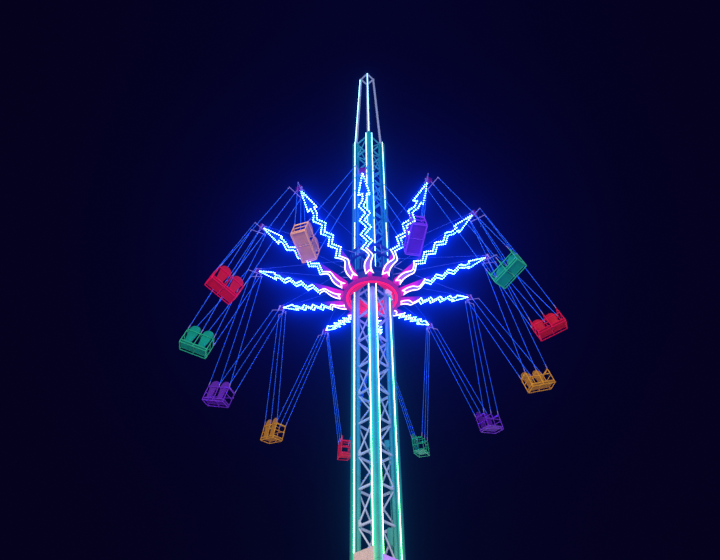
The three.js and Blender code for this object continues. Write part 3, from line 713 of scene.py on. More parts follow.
# Tones by height or reach: the lamps' own colours, and painted light and shade of the lamps on the steel near
# them; each stop is a height or a reach in metres, and a colour
TOWER_PAINTED_LIGHT = [(5.2, (0.12, 0.46, 0.30)), (6.4, (0.06, 0.38, 0.36)), (7.8, (0.03, 0.30, 0.48)),
               (9.5, (0.03, 0.30, 0.66)), (11.0, (0.08, 0.26, 0.78)), (11.8, (0.40, 0.30, 0.95)),
               (12.6, (0.02, 0.20, 0.50)), (16.5, (0.01, 0.22, 0.48)), (18.6, (0.0, 0.34, 0.38)),
               (22.9, (0.08, 0.30, 0.36))]
BRACE_PAINTED_LIGHT = [(5.2, (0.62, 0.60, 0.72)), (7.0, (0.42, 0.50, 0.76)), (9.0, (0.26, 0.42, 0.84)),
               (11.0, (0.28, 0.32, 0.95)), (11.8, (0.40, 0.30, 1.0)), (12.6, (0.02, 0.22, 0.62)),
               (16.5, (0.02, 0.28, 0.62)), (18.6, (0.04, 0.36, 0.52)), (22.9, (0.08, 0.30, 0.50))]
PAINTED_STRIP_SPILL = [(5.2, (0.0, 0.60, 0.22)), (9.5, (0.0, 0.50, 0.26)), (12.4, (0.0, 0.26, 0.44)),
               (22.9, (0.0, 0.30, 0.40))]
CHANNEL_PAINTED_LIGHT = [(5.2, (0.02, 0.62, 0.22)), (11.0, (0.01, 0.60, 0.32)), (12.5, (0.01, 0.40, 0.60)),
                 (22.9, (0.01, 0.34, 0.62))]
STRIP_TONES = [(5.2, (0.50, 1.0, 0.42)), (9.5, (0.50, 1.0, 0.54)), (11.8, (0.50, 0.96, 0.78)),
               (12.6, (0.36, 0.66, 0.76)), (22.9, (0.32, 0.58, 0.72))]
CROWN_TONES = [(18.8, (0.34, 0.92, 0.96)), (22.9, (0.32, 0.92, 1.0))]
LAMP_TONES = [(11.9, (0.9, 0.0, 0.02)), (12.3, (0.9, 0.0, 0.02))]
ARM_PAINTED_LIGHT = [(0.7, (0.62, 0.00, 0.26)), (1.05, (0.56, 0.00, 0.34)), (1.25, (0.20, 0.00, 0.30)),
             (1.5, (0.002, 0.002, 0.06)), (3.2, (0.001, 0.002, 0.03))]
TROUGH_PAINTED_LIGHT = [(0.7, (0.30, 0.02, 0.50)), (1.4, (0.0, 0.04, 0.60)), (3.2, (0.0, 0.05, 0.70))]
DOT_TONES = [(0.7, (0.08, 0.10, 1.0)), (1.35, (0.070, 0.20, 1.0)), (3.1, (0.066, 0.20, 1.0))]
ROOT_TONES = [(0.7, (1.0, 0.50, 0.60)), (1.1, (0.80, 0.56, 0.80)), (1.4, (0.36, 0.56, 1.0))]
HALO_TONES = [(0.7, (0.90, 0.0, 0.40)), (1.15, (0.60, 0.0, 0.60)), (1.45, (0.06, 0.01, 0.80))]
BOARD_PAINTED_LIGHT = [(0.7, (0.40, 0.0, 0.40)), (0.95, (0.26, 0.08, 0.50)), (1.15, (0.06, 0.08, 0.60)),
               (1.5, (0.002, 0.03, 0.50)), (3.1, (0.002, 0.03, 0.50))]
RING_TONES = [(0.38, (0.30, 0.0, 0.0)), (0.54, (0.62, 0.0, 0.0)), (0.62, (0.70, 0.0, 0.0)),
              (0.66, (0.60, 0.0, 0.04))]
FACE_PAINTED_LIGHT = ((0.95, 0.94, 1.0), (1.0, 0.98, 0.90))

# Painted light and shade of the lamps, by height, on the tower and its braces, which also glow in it.
tower_paint = painted_lamp_light_steel("tower_paint", TOWER_PAINTED_LIGHT, 0.30, faces=FACE_PAINTED_LIGHT, spill=PAINTED_STRIP_SPILL)
brace_painted_light = painted_lamp_light_steel("brace_painted_light", BRACE_PAINTED_LIGHT, 0.40, faces=FACE_PAINTED_LIGHT)
# The lit colours below are painted glow: painted light of the coloured lamps on steel that is no lamp.
crown_paint = painted_steel("crown_paint", (0.26, 0.30, 0.50), 0.5, lit=((0.18, 0.22, 0.42), 0.50))
panel_sand = painted_steel("panel_sand", (0.60, 0.44, 0.38), 0.6, 0.05, 0.6, ((0.60, 0.42, 0.38), 0.16))
panel_lilac = painted_steel("panel_lilac", (0.56, 0.30, 0.90), 0.5, 0.05, 0.3, ((0.50, 0.26, 0.95), 0.30))
base_steel = painted_steel("base_steel", (0.14, 0.15, 0.18), 0.5, 0.4)
carriage_paint = painted_steel("carriage_paint", (0.01, 0.02, 0.12), 0.5, lit=((0.0, 0.01, 0.12), 0.6))
drive_paint = painted_steel("drive_paint", (0.60, 0.50, 0.90), 0.5, 0.1, lit=((0.40, 0.30, 0.75), 0.6))
wheel_paint = painted_steel("wheel_paint", (0.06, 0.42, 0.48), 0.5, lit=((0.03, 0.30, 0.36), 0.6))
cover_paint = painted_steel("cover_paint", (0.03, 0.08, 0.24), 0.5, lit=((0.01, 0.05, 0.20), 0.7))
ring_paint = painted_steel("ring_paint", (0.14, 0.0, 0.07), 0.6, 0.1, 0.3, ((0.27, 0.0, 0.11), 0.9))
mast_paint = painted_steel("mast_paint", (0.01, 0.01, 0.08), 0.5, lit=((0.0, 0.004, 0.08), 0.6))
# Painted light: the arm beams are lit pink and violet near the root, fall to dark blue further out, and glow
# in that tone.
arm_paint = painted_lamp_light_steel("arm_paint", ARM_PAINTED_LIGHT, 1.0, along="reach", rough=0.6, grime=0.3)
bracket_paint = painted_steel("bracket_paint", (0.06, 0.0, 0.05), 0.5, lit=((0.10, 0.0, 0.09), 0.7))
bolt_steel = bare_steel("bolt_steel", (0.26, 0.28, 0.42))
# Painted light: the channels take the strips' light by height and the troughs the lamps' light by reach, and
# both glow in it.
channel_painted_light = painted_lamp_light_steel("channel_aluminium_painted_light", CHANNEL_PAINTED_LIGHT, 0.55, metal=0.5, grime=0.2)
trough_painted_light = painted_lamp_light_steel("trough_aluminium_painted_light", TROUGH_PAINTED_LIGHT, 0.5, along="reach", metal=0.5, grime=0.2)
spreader_steel = bare_steel("spreader_steel", (0.20, 0.18, 0.50), 0.4, lit=((0.12, 0.09, 0.42), 0.7))
rope_steel = wire_rope("rope_steel", (0.0, 0.08, 0.85), 0.80)
stay_steel = wire_rope("stay_steel", (0.0, 0.03, 0.50), 0.35)
wheel_rubber = black_rubber("wheel_rubber")
strip_light = lamp_glow("strip_light", STRIP_TONES, 11.5, pitch=0.04)
crown_light = lamp_glow("crown_light", CROWN_TONES, 5.5, pitch=0.04)
dot_light = lamp_glow("dot_light", DOT_TONES, 42.0, along="reach")
root_light = lamp_glow("root_light", ROOT_TONES, 3.4, along="reach")
halo_light = lamp_glow("halo_light", HALO_TONES, 0.9, along="reach")
lamp_red = lamp_glow("ring_lamps", LAMP_TONES, 0.9)
# Painted light: the boards glow in the spill of their lamps, magenta near the root and blue further out.
board_painted_glow = lamp_glow("board_painted_glow", BOARD_PAINTED_LIGHT, 0.75, along="reach")
ring_glow = lamp_glow("ring_glow", RING_TONES, 0.95, along="reach")
# Shell colours: the seats' own colours, darkened as painted shade, since the pans and backs are seen from
# below and behind.
SEAT_COLOURS_IN_PAINTED_SHADE = {
    "seat_yellow": (0.42, 0.17, 0.0),
    "seat_red": (0.52, 0.0, 0.0),
    "seat_green": (0.0, 0.25, 0.17),
    "seat_purple": (0.085, 0.0, 0.30),
}
TUBE_COLOURS = {
    "seat_yellow": (0.80, 0.34, 0.0),
    "seat_red": (0.80, 0.0, 0.05),
    "seat_green": (0.02, 0.44, 0.22),
    "seat_purple": (0.20, 0.03, 0.72),
}
seat_shells = {slot: moulded_plastic(slot + "_shell", colour) for slot, colour in SEAT_COLOURS_IN_PAINTED_SHADE.items()}
seat_tubes = {slot: painted_steel(slot + "_tube", colour, rough=0.45, metal=0.1, grime=0.3)
              for slot, colour in TUBE_COLOURS.items()}


# Small fasteners
def bolt_shape(size):
    """A hex head on a washer, standing on its seat along Z."""
    form = Form()
    lathe(form, rectangle((size * 0.15, 0), (size * 1.05, size * 0.18)), 12)
    plate(form, round_profile(size * 0.9, 6), size * 0.62, shift(0, 0, size * 0.18), size * 0.08)
    return form


def bolts(name, places, size, body):
    """Bolts of one size at every place, as one piece."""
    many(name, bolt_shape(size), places, bolt_steel, body)


def bay_level(index):
    """Height at which a bay of the lattice starts."""
    return FIRST_LEVEL + BAY * index


# Tower
def column_runs():
    """Bottom and top of each of the tower's four sections."""
    ends = [BASE_TOP + REST_GAP] + SECTION_ENDS + [TOWER_TOP]
    return [(ends[i] + (0.003 if i else 0.0), ends[i + 1] - 0.003) for i in range(len(ends) - 1)]


def columns():
    """Each column is an angle with its legs in two faces, a web and a round inner chord."""
    steel = Form()
    leg, wall = LEG_WIDTH / math.sqrt(2), LEG_THICK / math.sqrt(2)
    section = [(CORNER_RADIUS, 0), (CORNER_RADIUS - leg, leg), (CORNER_RADIUS - leg - wall, leg - wall),
               (CORNER_RADIUS - 2 * wall, 0), (CORNER_RADIUS - leg - wall, wall - leg),
               (CORNER_RADIUS - leg, -leg)]
    web = (CORNER_RADIUS - 0.018, CHORD_MIDDLE)
    for low, high in column_runs():
        plate(steel, section, high - low, shift(0, 0, low), 0.0025)
        bar(steel, (sum(web) / 2, 0, low), (sum(web) / 2, 0, high), web[0] - web[1], 0.016, 0.003,
            up=(0, 1, 0))
        rod(steel, (CHORD_MIDDLE, 0, low), (CHORD_MIDDLE, 0, high), CHORD_REACH - 0.003, 20)
    places = [turn_z(angle) for angle in CORNERS.values()]
    many("tower_columns", steel, places, tower_paint, "tower",
         ["tower_foot", "tower_lower", "tower_middle", "tower_head"])


def splices():
    """Bolted flanges where the tower's sections meet."""
    flange = Form()
    outline = rectangle((0.296, -0.060), (0.400, 0.060))
    plate(flange, outline, 0.016, shift(0, 0, -0.018))
    plate(flange, outline, 0.016, shift(0, 0, 0.002))
    spots = [shift(0, 0, level) for level in SECTION_ENDS]
    places = [turn_z(angle) @ spot for angle in CORNERS.values() for spot in spots]
    many("splice_flanges", flange, places, tower_paint, "tower")
    holes = [(x, y) for x in (0.306, 0.390) for y in (-0.052, 0.052)]
    bolts("splice_bolts", [p @ shift(x, y, 0.018) for p in places for x, y in holes], 0.008, "tower")


def lattice():
    """Rails at every level and one diagonal in every bay, leaning the other way in the next."""
    reach = CHORD_MIDDLE / math.sqrt(2) - CHORD_REACH * 0.72
    rails, leans, falls, ties = [], [], [], []
    for face in FACES:
        side = turn_z(face + 90)
        for index in range(BAYS + 1):
            if index < 7 and index % 2:
                continue
            rails.append(side @ shift(0, -BRACE_PLANE, bay_level(index) + RAIL_LIFT))
        rails.append(side @ shift(0, -BRACE_PLANE, TOWER_TOP - RAIL_LIFT))
        for index in range(7, BAYS):
            (falls if index % 2 else leans).append(side @ shift(0, -BRACE_PLANE, bay_level(index)))
        ties.append(side @ shift(0, -BRACE_PLANE, bay_level(BAYS)))
    rail = Form()
    bar(rail, (-reach, 0, 0), (reach, 0, 0), 0.040, 0.040, 0.006)
    many("tower_rails", rail, rails, brace_painted_light, "tower")
    low, high = RAIL_LIFT + 0.062, BAY - 0.031
    for name, sign, places in (("tower_diagonals_rising", 1, leans), ("tower_diagonals_falling", -1, falls)):
        lean = Form()
        rod(lean, (-sign * reach, 0, low), (sign * reach, 0, high), 0.018, 14)
        many(name, lean, places, brace_painted_light, "tower")
    top = Form()
    rod(top, (-reach, 0, low), (reach, 0, TOWER_TOP - bay_level(BAYS) - 0.053), 0.018, 14)
    many("tower_top_diagonals", top, ties, brace_painted_light, "tower")


def gussets():
    """A shaped plate where the diagonals meet each rail, with four bolts."""
    reach = CHORD_MIDDLE / math.sqrt(2) - CHORD_REACH * 0.8
    outline = [(0, -0.030), (0.085, -0.030), (0.085, 0.018), (0.030, 0.105), (0, 0.105)]
    shape = Form()
    plate(shape, outline, 0.008, upright())
    mirrored = Form()
    plate(mirrored, [(-x, z) for x, z in outline], 0.008, upright())
    holes = [(0.022, -0.014), (0.066, -0.014), (0.022, 0.022), (0.022, 0.076)]
    left, right, heads = [], [], []
    for face in FACES:
        side = turn_z(face + 90)
        for index in range(8, BAYS + 1):
            level = bay_level(index) + RAIL_LIFT
            node_on_left = index % 2 == 0
            sign = 1 if node_on_left else -1
            spot = side @ shift(-sign * reach, -BRACE_PLANE - 0.021, level)
            (left if node_on_left else right).append(spot)
            heads += [spot @ upright() @ shift(sign * x, z, 0.008) for x, z in holes]
    many("gussets_left", shape, left, brace_painted_light, "tower")
    many("gussets_right", mirrored, right, brace_painted_light, "tower")
    bolts("gusset_bolts", heads, 0.0065, "tower")


def light_channels():
    """A folded channel on each leg of each column with a lit strip in it; two columns have dark splices."""
    middle, out = CHANNEL_MIDDLE, CHANNEL_WIDTH / 2
    back, front, web = CHANNEL_BACK, CHANNEL_BACK + CHANNEL_DEPTH, CHANNEL_BACK + CHANNEL_WALL
    groove = out - CHANNEL_WALL
    runs, strips, covers = Form(), Form(), Form()
    lens = box_profile(2 * groove - 0.001, front - web - 0.0015, 0.003)
    for face in FACES:
        place = turn_z(face + 90)
        bottom = (PLAIN_TOP if face in (-45.0, 135.0) else RIBBED_TOP) + REST_GAP
        for sign in (-1, 1):
            x = sign * middle
            section = [(x - out, -front), (x - groove, -front), (x - groove, -web), (x + groove, -web),
                       (x + groove, -front), (x + out, -front), (x + out, -back), (x - out, -back)]
            plate(runs, section, TOWER_TOP - 0.002 - bottom, place @ shift(0, 0, bottom), 0.0008)
            split = abs(math.cos(math.radians(face + sign * 45))) > 0.9
            spans = [(bottom, TOWER_TOP - 0.01)]
            if split:
                spans = [(bottom, SPLICE[0]), (SPLICE[1], TOWER_TOP - 0.01)]
            depth = -(web + front) / 2 + 0.0005
            for low, high in spans:
                sweep(strips, [(x, depth, low + 0.004), (x, depth, high)], lens, up=(0, 1, 0),
                      chamfer=0.002, place=place)
            if split:
                box_shape(covers, (x - out - 0.006, -front - 0.0015, SPLICE[0] + 0.004),
                          (x + out + 0.006, -back - 0.001, SPLICE[1] - 0.004), 0.003, place)
    single("light_channels", runs, channel_painted_light, "tower",
           [f"light_channel_{n}" for n in range(1, 9)])
    single("light_strips", strips, strip_light, "tower")
    single("splice_covers", covers, cover_paint, "tower")


def crown():
    """Four tapering legs on foot plates with a square on top; the near and the left leg carry a strip."""
    foot, head, leg = 0.386, 0.219, 0.062
    bottom = TOWER_TOP + REST_GAP
    steel, strips, heads = Form(), Form(), []
    for name, angle in CORNERS.items():
        place = turn_z(angle)
        outline = rectangle((foot - 0.055, -0.055), (foot + 0.055, 0.055))
        plate(steel, outline, 0.020, place @ shift(0, 0, bottom), 0.003)
        top = CROWN_TOP - 0.022
        sweep(steel, [(foot, 0, bottom + 0.012), (head, 0, top)], box_profile(leg, leg, 0.008),
              up=(0, 1, 0), place=place)
        corner = (head, 0, top)
        other = turn_z(90) @ Vector(corner)
        bar(steel, corner, other, 0.044, 0.044, 0.006, place=place)
        heads += [place @ shift(foot + x, y, bottom + 0.020)
                  for x in (-0.043, 0.043) for y in (-0.043, 0.043)]
        if name in ("near", "left"):
            out = leg / 2 + 0.004
            start, end = (foot + out, 0, bottom + 0.05), (head + out, 0, top - 0.03)
            sweep(strips, [start, end], box_profile(0.026, 0.014, 0.004), up=(0, 1, 0), chamfer=0.003,
                  place=place)
    for sign in (-1, 1):
        rod(steel, (0.02 * sign, -0.20, CROWN_TOP - 0.05), (0.02 * sign, 0.20, CROWN_TOP - 0.05), 0.008)
    single("crown_frame_dressed", steel, crown_paint, "tower", ["crown_frame"])
    single("crown_strips", strips, crown_light, "tower")
    bolts("crown_bolts", heads, 0.009, "tower")


def foot_panels():
    """Ribbed sheet on two faces of the foot and plain folded panels on the other two."""
    half, face = 0.262, FACE_PLANE + 0.0143
    ribbed, plain, heads = Form(), Form(), []
    for angle, kind in ((-135, "ribbed"), (45, "ribbed"), (-45, "plain"), (135, "plain")):
        place = turn_z(angle + 90)
        top = RIBBED_TOP if kind == "ribbed" else PLAIN_TOP
        if kind == "ribbed":
            profile, x = [], -half + 0.006
            pitch, rise = 0.036, 0.010
            while x + pitch < half:
                profile += [(x, -face + rise), (x + pitch * 0.30, -face + rise), (x + pitch * 0.42, -face),
                            (x + pitch * 0.88, -face)]
                x += pitch
            profile += [(half - 0.002, -face + rise), (half - 0.002, -face + 0.0138),
                        (-half + 0.002, -face + 0.0138)]
            plate(ribbed, profile, top - 0.30, place @ shift(0, 0, 0.30), 0.0006)
        else:
            levels = [0.30, 1.60, 2.90, 4.20, top]
            for low, high in zip(levels, levels[1:]):
                box_shape(plain, (-half, -face + 0.001, low + 0.003), (half, -face + 0.0139, high - 0.003),
                          0.004, place)
                heads += [place @ facing((x, -face + 0.001, z), (0, -1, 0))
                          for x in (-half + 0.02, half - 0.02)
                          for z in np.linspace(low + 0.05, high - 0.05, 5)]
        for index in (0, 2, 4, 6):
            level = bay_level(index) + RAIL_LIFT
            if level < top:
                form = ribbed if kind == "ribbed" else plain
                box_shape(form, (-0.110, -face + 0.0135, max(level - 0.02, 0.301)),
                          (0.110, -BRACE_PLANE - 0.0203, level + 0.08), 0.003, place)
    single("foot_panels_ribbed", ribbed, panel_sand, "tower",
           ["foot_panel_left", "foot_panel_back_right"])
    single("foot_panels_plain", plain, panel_lilac, "tower",
           ["foot_panel_right", "foot_panel_back_left"])
    bolts("panel_screws", heads, 0.005, "tower")


def base():
    """Bed plate with stiffeners, and anchor nuts round its rim."""
    half = 0.540
    form, heads = Form(), []
    outline = [(-half + 0.02, -half), (half - 0.02, -half), (half, -half + 0.02), (half, half - 0.02),
               (half - 0.02, half), (-half + 0.02, half), (-half, half - 0.02), (-half, -half + 0.02)]
    plate(form, outline, BASE_TOP, turn_z(45), 0.004)
    near = FACE_PLANE + REST_GAP
    wedge = [(near, 0.039), (near + 0.110, 0.039), (near + 0.110, 0.060), (near + 0.020, 0.190),
             (near, 0.190)]
    for face in FACES:
        for sign in (-1, 1):
            stand = turn_z(face) @ upright(sign * (FACE_PLANE - 0.060) + 0.012)
            plate(form, wedge, 0.024, stand, 0.002)
    spots = np.linspace(-0.42, 0.42, 5)
    for x in spots:
        for y in spots:
            if max(abs(x), abs(y)) > 0.4:
                heads.append(turn_z(45) @ shift(x * 1.13, y * 1.13, BASE_TOP))
    single("bed_plate", form, base_steel, "tower", ["base_plate"])
    bolts("anchor_nuts", heads, 0.020, "tower")


def junction_boxes():
    """Two small cabinets and their conduit on the inside of the right-hand column."""
    form = Form()
    for level, tall, wide in ((7.93, 0.16, 0.12), (5.98, 0.34, 0.10)):
        box_shape(form, (0.205, -wide / 2, level - tall / 2), (0.296, wide / 2, level + tall / 2), 0.006)
        box_shape(form, (0.196, -wide / 2 + 0.008, level - tall / 2 + 0.008),
                  (0.207, wide / 2 - 0.008, level + tall / 2 - 0.008), 0.003)
    sweep(form, [(0.285, 0.03, 0.4), (0.285, 0.03, 7.86)], round_profile(0.009, 10))
    single("junction_boxes", form, tower_paint, "tower")


# Carriage
def guide_angle(gap, thick, reach):
    """Plan of a guide that hugs a column's corner at a gap."""
    inner, outer = CORNER_RADIUS + gap * math.sqrt(2), CORNER_RADIUS + (gap + thick) * math.sqrt(2)
    leg, wall = reach / math.sqrt(2), thick / math.sqrt(2)
    return [(outer, 0), (inner - leg + wall, leg + wall), (inner - leg, leg), (inner, 0),
            (inner - leg, -leg), (inner - leg + wall, -leg - wall)]


def carriage():
    """Two rings joined by posts, and on each corner of the tower a guide with four pairs of wheels."""
    steel, rubber, heads = Form(), Form(), []
    for bottom, out in ((SLEEVE_BOTTOM, BEARING_OUT), (SLEEVE_TOP - SLEEVE_RING, SLEEVE_OUT)):
        top = bottom + SLEEVE_RING
        lathe(steel, [(SLEEVE_IN, bottom + 0.004), (SLEEVE_IN + 0.004, bottom), (out - 0.004, bottom),
                      (out, bottom + 0.004), (out, top - 0.004), (out - 0.004, top),
                      (SLEEVE_IN + 0.004, top), (SLEEVE_IN, top - 0.004)], 72)
    for turn in range(24):
        heads.append(turn_z(7.5 + 15 * turn) @ shift(0.546, 0, SLEEVE_TOP))
    for angle in CORNERS.values():
        place = turn_z(angle)
        plate(steel, guide_angle(0.005, 0.0145, 0.092), SLEEVE_TOP - 0.001 - GUIDE_BOTTOM,
              place @ shift(0, 0, GUIDE_BOTTOM), 0.002)
        for turn in (30, 60):
            between = place @ turn_z(turn)
            bar(steel, (0.522, 0, SLEEVE_BOTTOM + 0.01), (0.522, 0, SLEEVE_TOP - 0.01), 0.036, 0.040, 0.006,
                up=(0, 1, 0), place=between)
        for level in (GUIDE_BOTTOM + 0.05, GUIDE_BOTTOM + 0.16, SLEEVE_TOP - 0.20, SLEEVE_TOP - 0.09):
            for sign in (-1, 1):
                face = place @ turn_z(sign * 45) @ shift(FACE_PLANE, -sign * (FACE_PLANE - 0.044), level)
                lathe(rubber, [(0.006, -0.019), (0.019, -0.021), (0.0215, -0.018), (0.0225, 0.0),
                               (0.0215, 0.018), (0.019, 0.021), (0.006, 0.019)], 20,
                      place=face @ shift(0.0225 + 0.0005, 0, 0) @ turn_x(90))
                for end in (-1, 1):
                    cheek = [(0.004, -0.022), (0.034, -0.026), (0.034, 0.026), (0.004, 0.022)]
                    plate(steel, cheek, 0.004, face @ upright(end * 0.026 + 0.002), 0.001)
    covers = Form()
    for angle in (0.0, 180.0):
        for sign in (-1, 1):
            place = turn_z(angle + sign * 45) @ axes((0, 1, 0), (-1, 0, 0), (0, 0, 1))
            low, high = sorted((-sign * (FACE_PLANE - 0.086), -sign * (FACE_PLANE - 0.150)))
            box_shape(covers, (low, -FACE_PLANE - 0.031, SLEEVE_BOTTOM + 0.09),
                      (high, -FACE_PLANE - 0.0195, SLEEVE_TOP - 0.34), 0.004, place)
    single("carriage_dressed", steel, carriage_paint, "carriage", ["carriage_frame"])
    single("guide_wheels", rubber, wheel_rubber, "carriage")
    single("guide_covers", covers, cover_paint, "carriage")
    bolts("carriage_bolts", heads, 0.009, "carriage")


def slew_drive():
    """Motor, gearbox and two chain wheels on the face between the near and the right corner."""
    steel, lit, wheels = Form(), Form(), Form()
    place = turn_z(45)
    low, high = 11.870, 12.340
    back, front = -0.392, -0.470
    box_shape(steel, (0.080, -0.394, 12.030), (0.310, -0.382, 12.310), 0.003, place)
    box_shape(steel, (0.070, front + 0.012, low + 0.190), (0.240, back, high), 0.008, place)
    box_shape(steel, (0.060, front + 0.030, low + 0.150), (0.250, back, low + 0.192), 0.006, place)
    for x, radius in ((0.110, 0.048), (0.205, 0.044)):
        wheel = place @ shift(x, front + 0.026, low + 0.080) @ turn_x(90)
        lathe(wheels, [(0.012, -0.012), (radius - 0.004, -0.012), (radius, -0.008),
                       (radius - 0.006, -0.002), (radius - 0.006, 0.002), (radius, 0.008),
                       (radius - 0.004, 0.012), (0.012, 0.012)], 28, place=wheel)
        rod(steel, wheel @ Vector((0, 0, -0.030)), wheel @ Vector((0, 0, 0.018)), 0.014, 16)
        box_shape(steel, (x - 0.012, front + 0.045, low + 0.070), (x + 0.012, front + 0.056, low + 0.160),
                  0.003, place)
    motor = place @ shift(0.155, front + 0.040, high - 0.150)
    lathe(steel, [(0.0005, 0), (0.026, 0), (0.030, 0.004), (0.030, 0.100), (0.024, 0.112), (0.0005, 0.112)],
          28, place=motor @ turn_x(90) @ shift(0, 0, -0.045))
    for rib in range(6):
        box_shape(steel, (0.082 + 0.027 * rib, front + 0.006, low + 0.215),
                  (0.088 + 0.027 * rib, front + 0.014, high - 0.030), 0.001, place)
    box_shape(lit, (0.262, front + 0.012, low + 0.040), (0.290, front + 0.024, low + 0.170), 0.004, place)
    box_shape(steel, (0.245, front + 0.024, low + 0.050), (0.300, -0.393, low + 0.175), 0.004, place)
    single("slew_drive", steel, drive_paint, "carriage")
    single("drive_wheels", wheels, wheel_paint, "carriage")
    single("drive_lamp", lit, lamp_red, "carriage")


# Rotor ring and mast
def rotor_ring():
    """A flat rim whose inner part has a red lit underside between two rows of lamps."""
    rim, glow, edge = Form(), Form(), Form()
    bottom, top = RING_BOTTOM, RING_TOP
    lathe(rim, [(RED_EDGE, bottom + 0.003), (RED_EDGE + 0.003, bottom), (RING_OUT - 0.006, bottom),
                (RING_OUT, bottom + 0.006), (RING_OUT, bottom + 0.030), (RING_OUT - 0.004, bottom + 0.033),
                (RING_OUT - 0.004, bottom + 0.048), (RING_OUT, bottom + 0.051), (RING_OUT, top - 0.006),
                (RING_OUT - 0.006, top), (RING_IN + 0.004, top), (RING_IN, top - 0.004),
                (RING_IN, bottom + 0.016), (RED_EDGE, bottom + 0.016)], 144)
    lathe(glow, rectangle((RING_IN + 0.002, bottom + 0.004), (RED_EDGE - 0.003, bottom + 0.0155)), 144)
    for radius in (RING_IN + 0.010, RED_EDGE - 0.009):
        lathe(edge, [(radius + x, bottom + 0.003 + z) for x, z in round_profile(0.006, 8)], 144)
    single("ring_rim", rim, ring_paint, "rotor", ["rotor_ring"])
    single("ring_under_glow", glow, ring_glow, "rotor")
    single("ring_lamps", edge, lamp_red, "rotor")
    joints = [arm_place(n) @ facing((RING_OUT - 0.004, y, bottom + 0.041), (1, 0, 0)) for n in range(ARMS)
              for y in (-0.06, 0.06)]
    bolts("rim_bolts", joints, 0.006, "rotor")


def bearing_cover():
    """A drum that hangs from the bearing inside the turning ring: dark outside, lit red inside, with four
    lit segments across it that leave the tower's square free."""
    foot, head = RING_BOTTOM + 0.006, SLEEVE_BOTTOM - REST_GAP
    shell, liner = Form(), Form()
    lathe(shell, rectangle((0.568, foot), (0.574, head)), 96)
    lathe(liner, rectangle((0.561, foot + 0.001), (0.5675, head)), 96)
    single("bearing_drum", shell, mast_paint, "carriage")
    single("bearing_drum_lining", liner, ring_glow, "carriage")
    chord, reach = FACE_PLANE + 0.026, 0.5608
    half = math.degrees(math.acos(chord / reach)) - 1.5
    arc = [math.radians(-half + 2 * half * step / 24) for step in range(25)]
    segment = Form()
    plate(segment, [(reach * math.cos(a), reach * math.sin(a)) for a in arc], 0.010, shift(0, 0, COVER_LEVEL))
    places = [turn_z(face) for face in FACES]
    many("bearing_cover", segment, places, ring_glow, "carriage")


def rotor_mast():
    """The bearing's flange and six slanted posts that carry the collar."""
    steel, heads = Form(), []
    flange = SLEEVE_BOTTOM + SLEEVE_RING + REST_GAP
    lathe(steel, rim_profile(0.552, 0.640, flange, flange + 0.050, 0.004), 96)
    lathe(steel, rim_profile(COLLAR_IN + 0.002, COLLAR_OUT, COLLAR_BOTTOM, COLLAR_TOP, 0.003), 96)
    shoe = RING_TOP + REST_GAP
    for number in range(0, ARMS, 2):
        place = turn_z(ARM_PHASE) @ turn_z(number * ARM_STEP)
        outline = rectangle((0.610, -0.030), (0.670, 0.030))
        plate(steel, outline, 0.014, place @ shift(0, 0, shoe), 0.002)
        bar(steel, (0.640, 0, shoe + 0.008), (0.574, 0, COLLAR_TOP - 0.020), 0.036, 0.036, 0.006,
            up=(0, 1, 0), place=place)
        heads += [place @ shift(0.640 + x, y, shoe + 0.014) for x in (-0.023, 0.023) for y in (-0.023, 0.023)]
    heads += [turn_z(ARM_PHASE + 7.5 + 15 * n) @ shift(0.615, 0, flange + 0.050) for n in range(24)]
    single("mast_dressed", steel, mast_paint, "rotor", ["rotor_mast"])
    bolts("mast_bolts", heads, 0.0075, "rotor")


# Arms
ROOT_LEFT = [(0.768, -0.095), (0.915, -0.122), (1.045, -0.095), (1.185, 0.005), (1.265, -0.040)]
ROOT_RIGHT = [(0.790, 0.082), (0.912, 0.042), (1.050, 0.062), (1.182, 0.113), (1.262, 0.060)]
HEAD_LEFT = [(2.415, -0.046), (2.540, -0.044), (2.512, -0.144), (3.010, 0.0)]
HEAD_RIGHT = [(2.415, 0.062), (2.540, 0.066), (2.512, 0.146)]
ZIG_FIRST, ZIG_PITCH, ZIG_COUNT, ZIG_REACH, BAND_HALF = 1.354, 0.156, 7, 0.076, 0.064
LAMP_PITCH = 0.0575
STRETCH = 1 / math.cos(ARM_SLOPE)


def smooth_line(points):
    """A curve through the points."""
    spots = [Vector(point) for point in points]
    ends = [2 * spots[0] - spots[1]] + spots + [2 * spots[-1] - spots[-2]]
    line = []
    for a, b, c, d in zip(ends, ends[1:], ends[2:], ends[3:]):
        square = 2 * a - 5 * b + 4 * c - d
        cube = 3 * b - a - 3 * c + d
        for step in range(CURVE_STEPS):
            t = step / CURVE_STEPS
            line.append(0.5 * (2 * b + (c - a) * t + square * t * t + cube * t ** 3))
    line.append(spots[-1])
    return [tuple(point) for point in line]


def zigzag(sign):
    """One rim of the zigzag band."""
    points = []
    for index in range(ZIG_COUNT):
        centre = -ZIG_REACH - 0.020 if index % 2 == 0 else ZIG_REACH - 0.016
        points.append((ZIG_FIRST + index * ZIG_PITCH, centre + sign * BAND_HALF))
    return points


def on_slope(line):
    """Points given by their reach from the tower's middle, moved onto the sloping arm."""
    return [((reach - ROOT_RADIUS) * STRETCH, side) for reach, side in line]


def board_lines():
    """The board's left and right rims and its notch, in metres along and across the arm."""
    left = smooth_line(ROOT_LEFT + zigzag(-1)[:1]) + zigzag(-1)[1:] + HEAD_LEFT
    right = smooth_line(ROOT_RIGHT + zigzag(1)[:1]) + zigzag(1)[1:] + HEAD_RIGHT
    return on_slope(left), on_slope(right), on_slope([(0.845, 0.0)])[0]


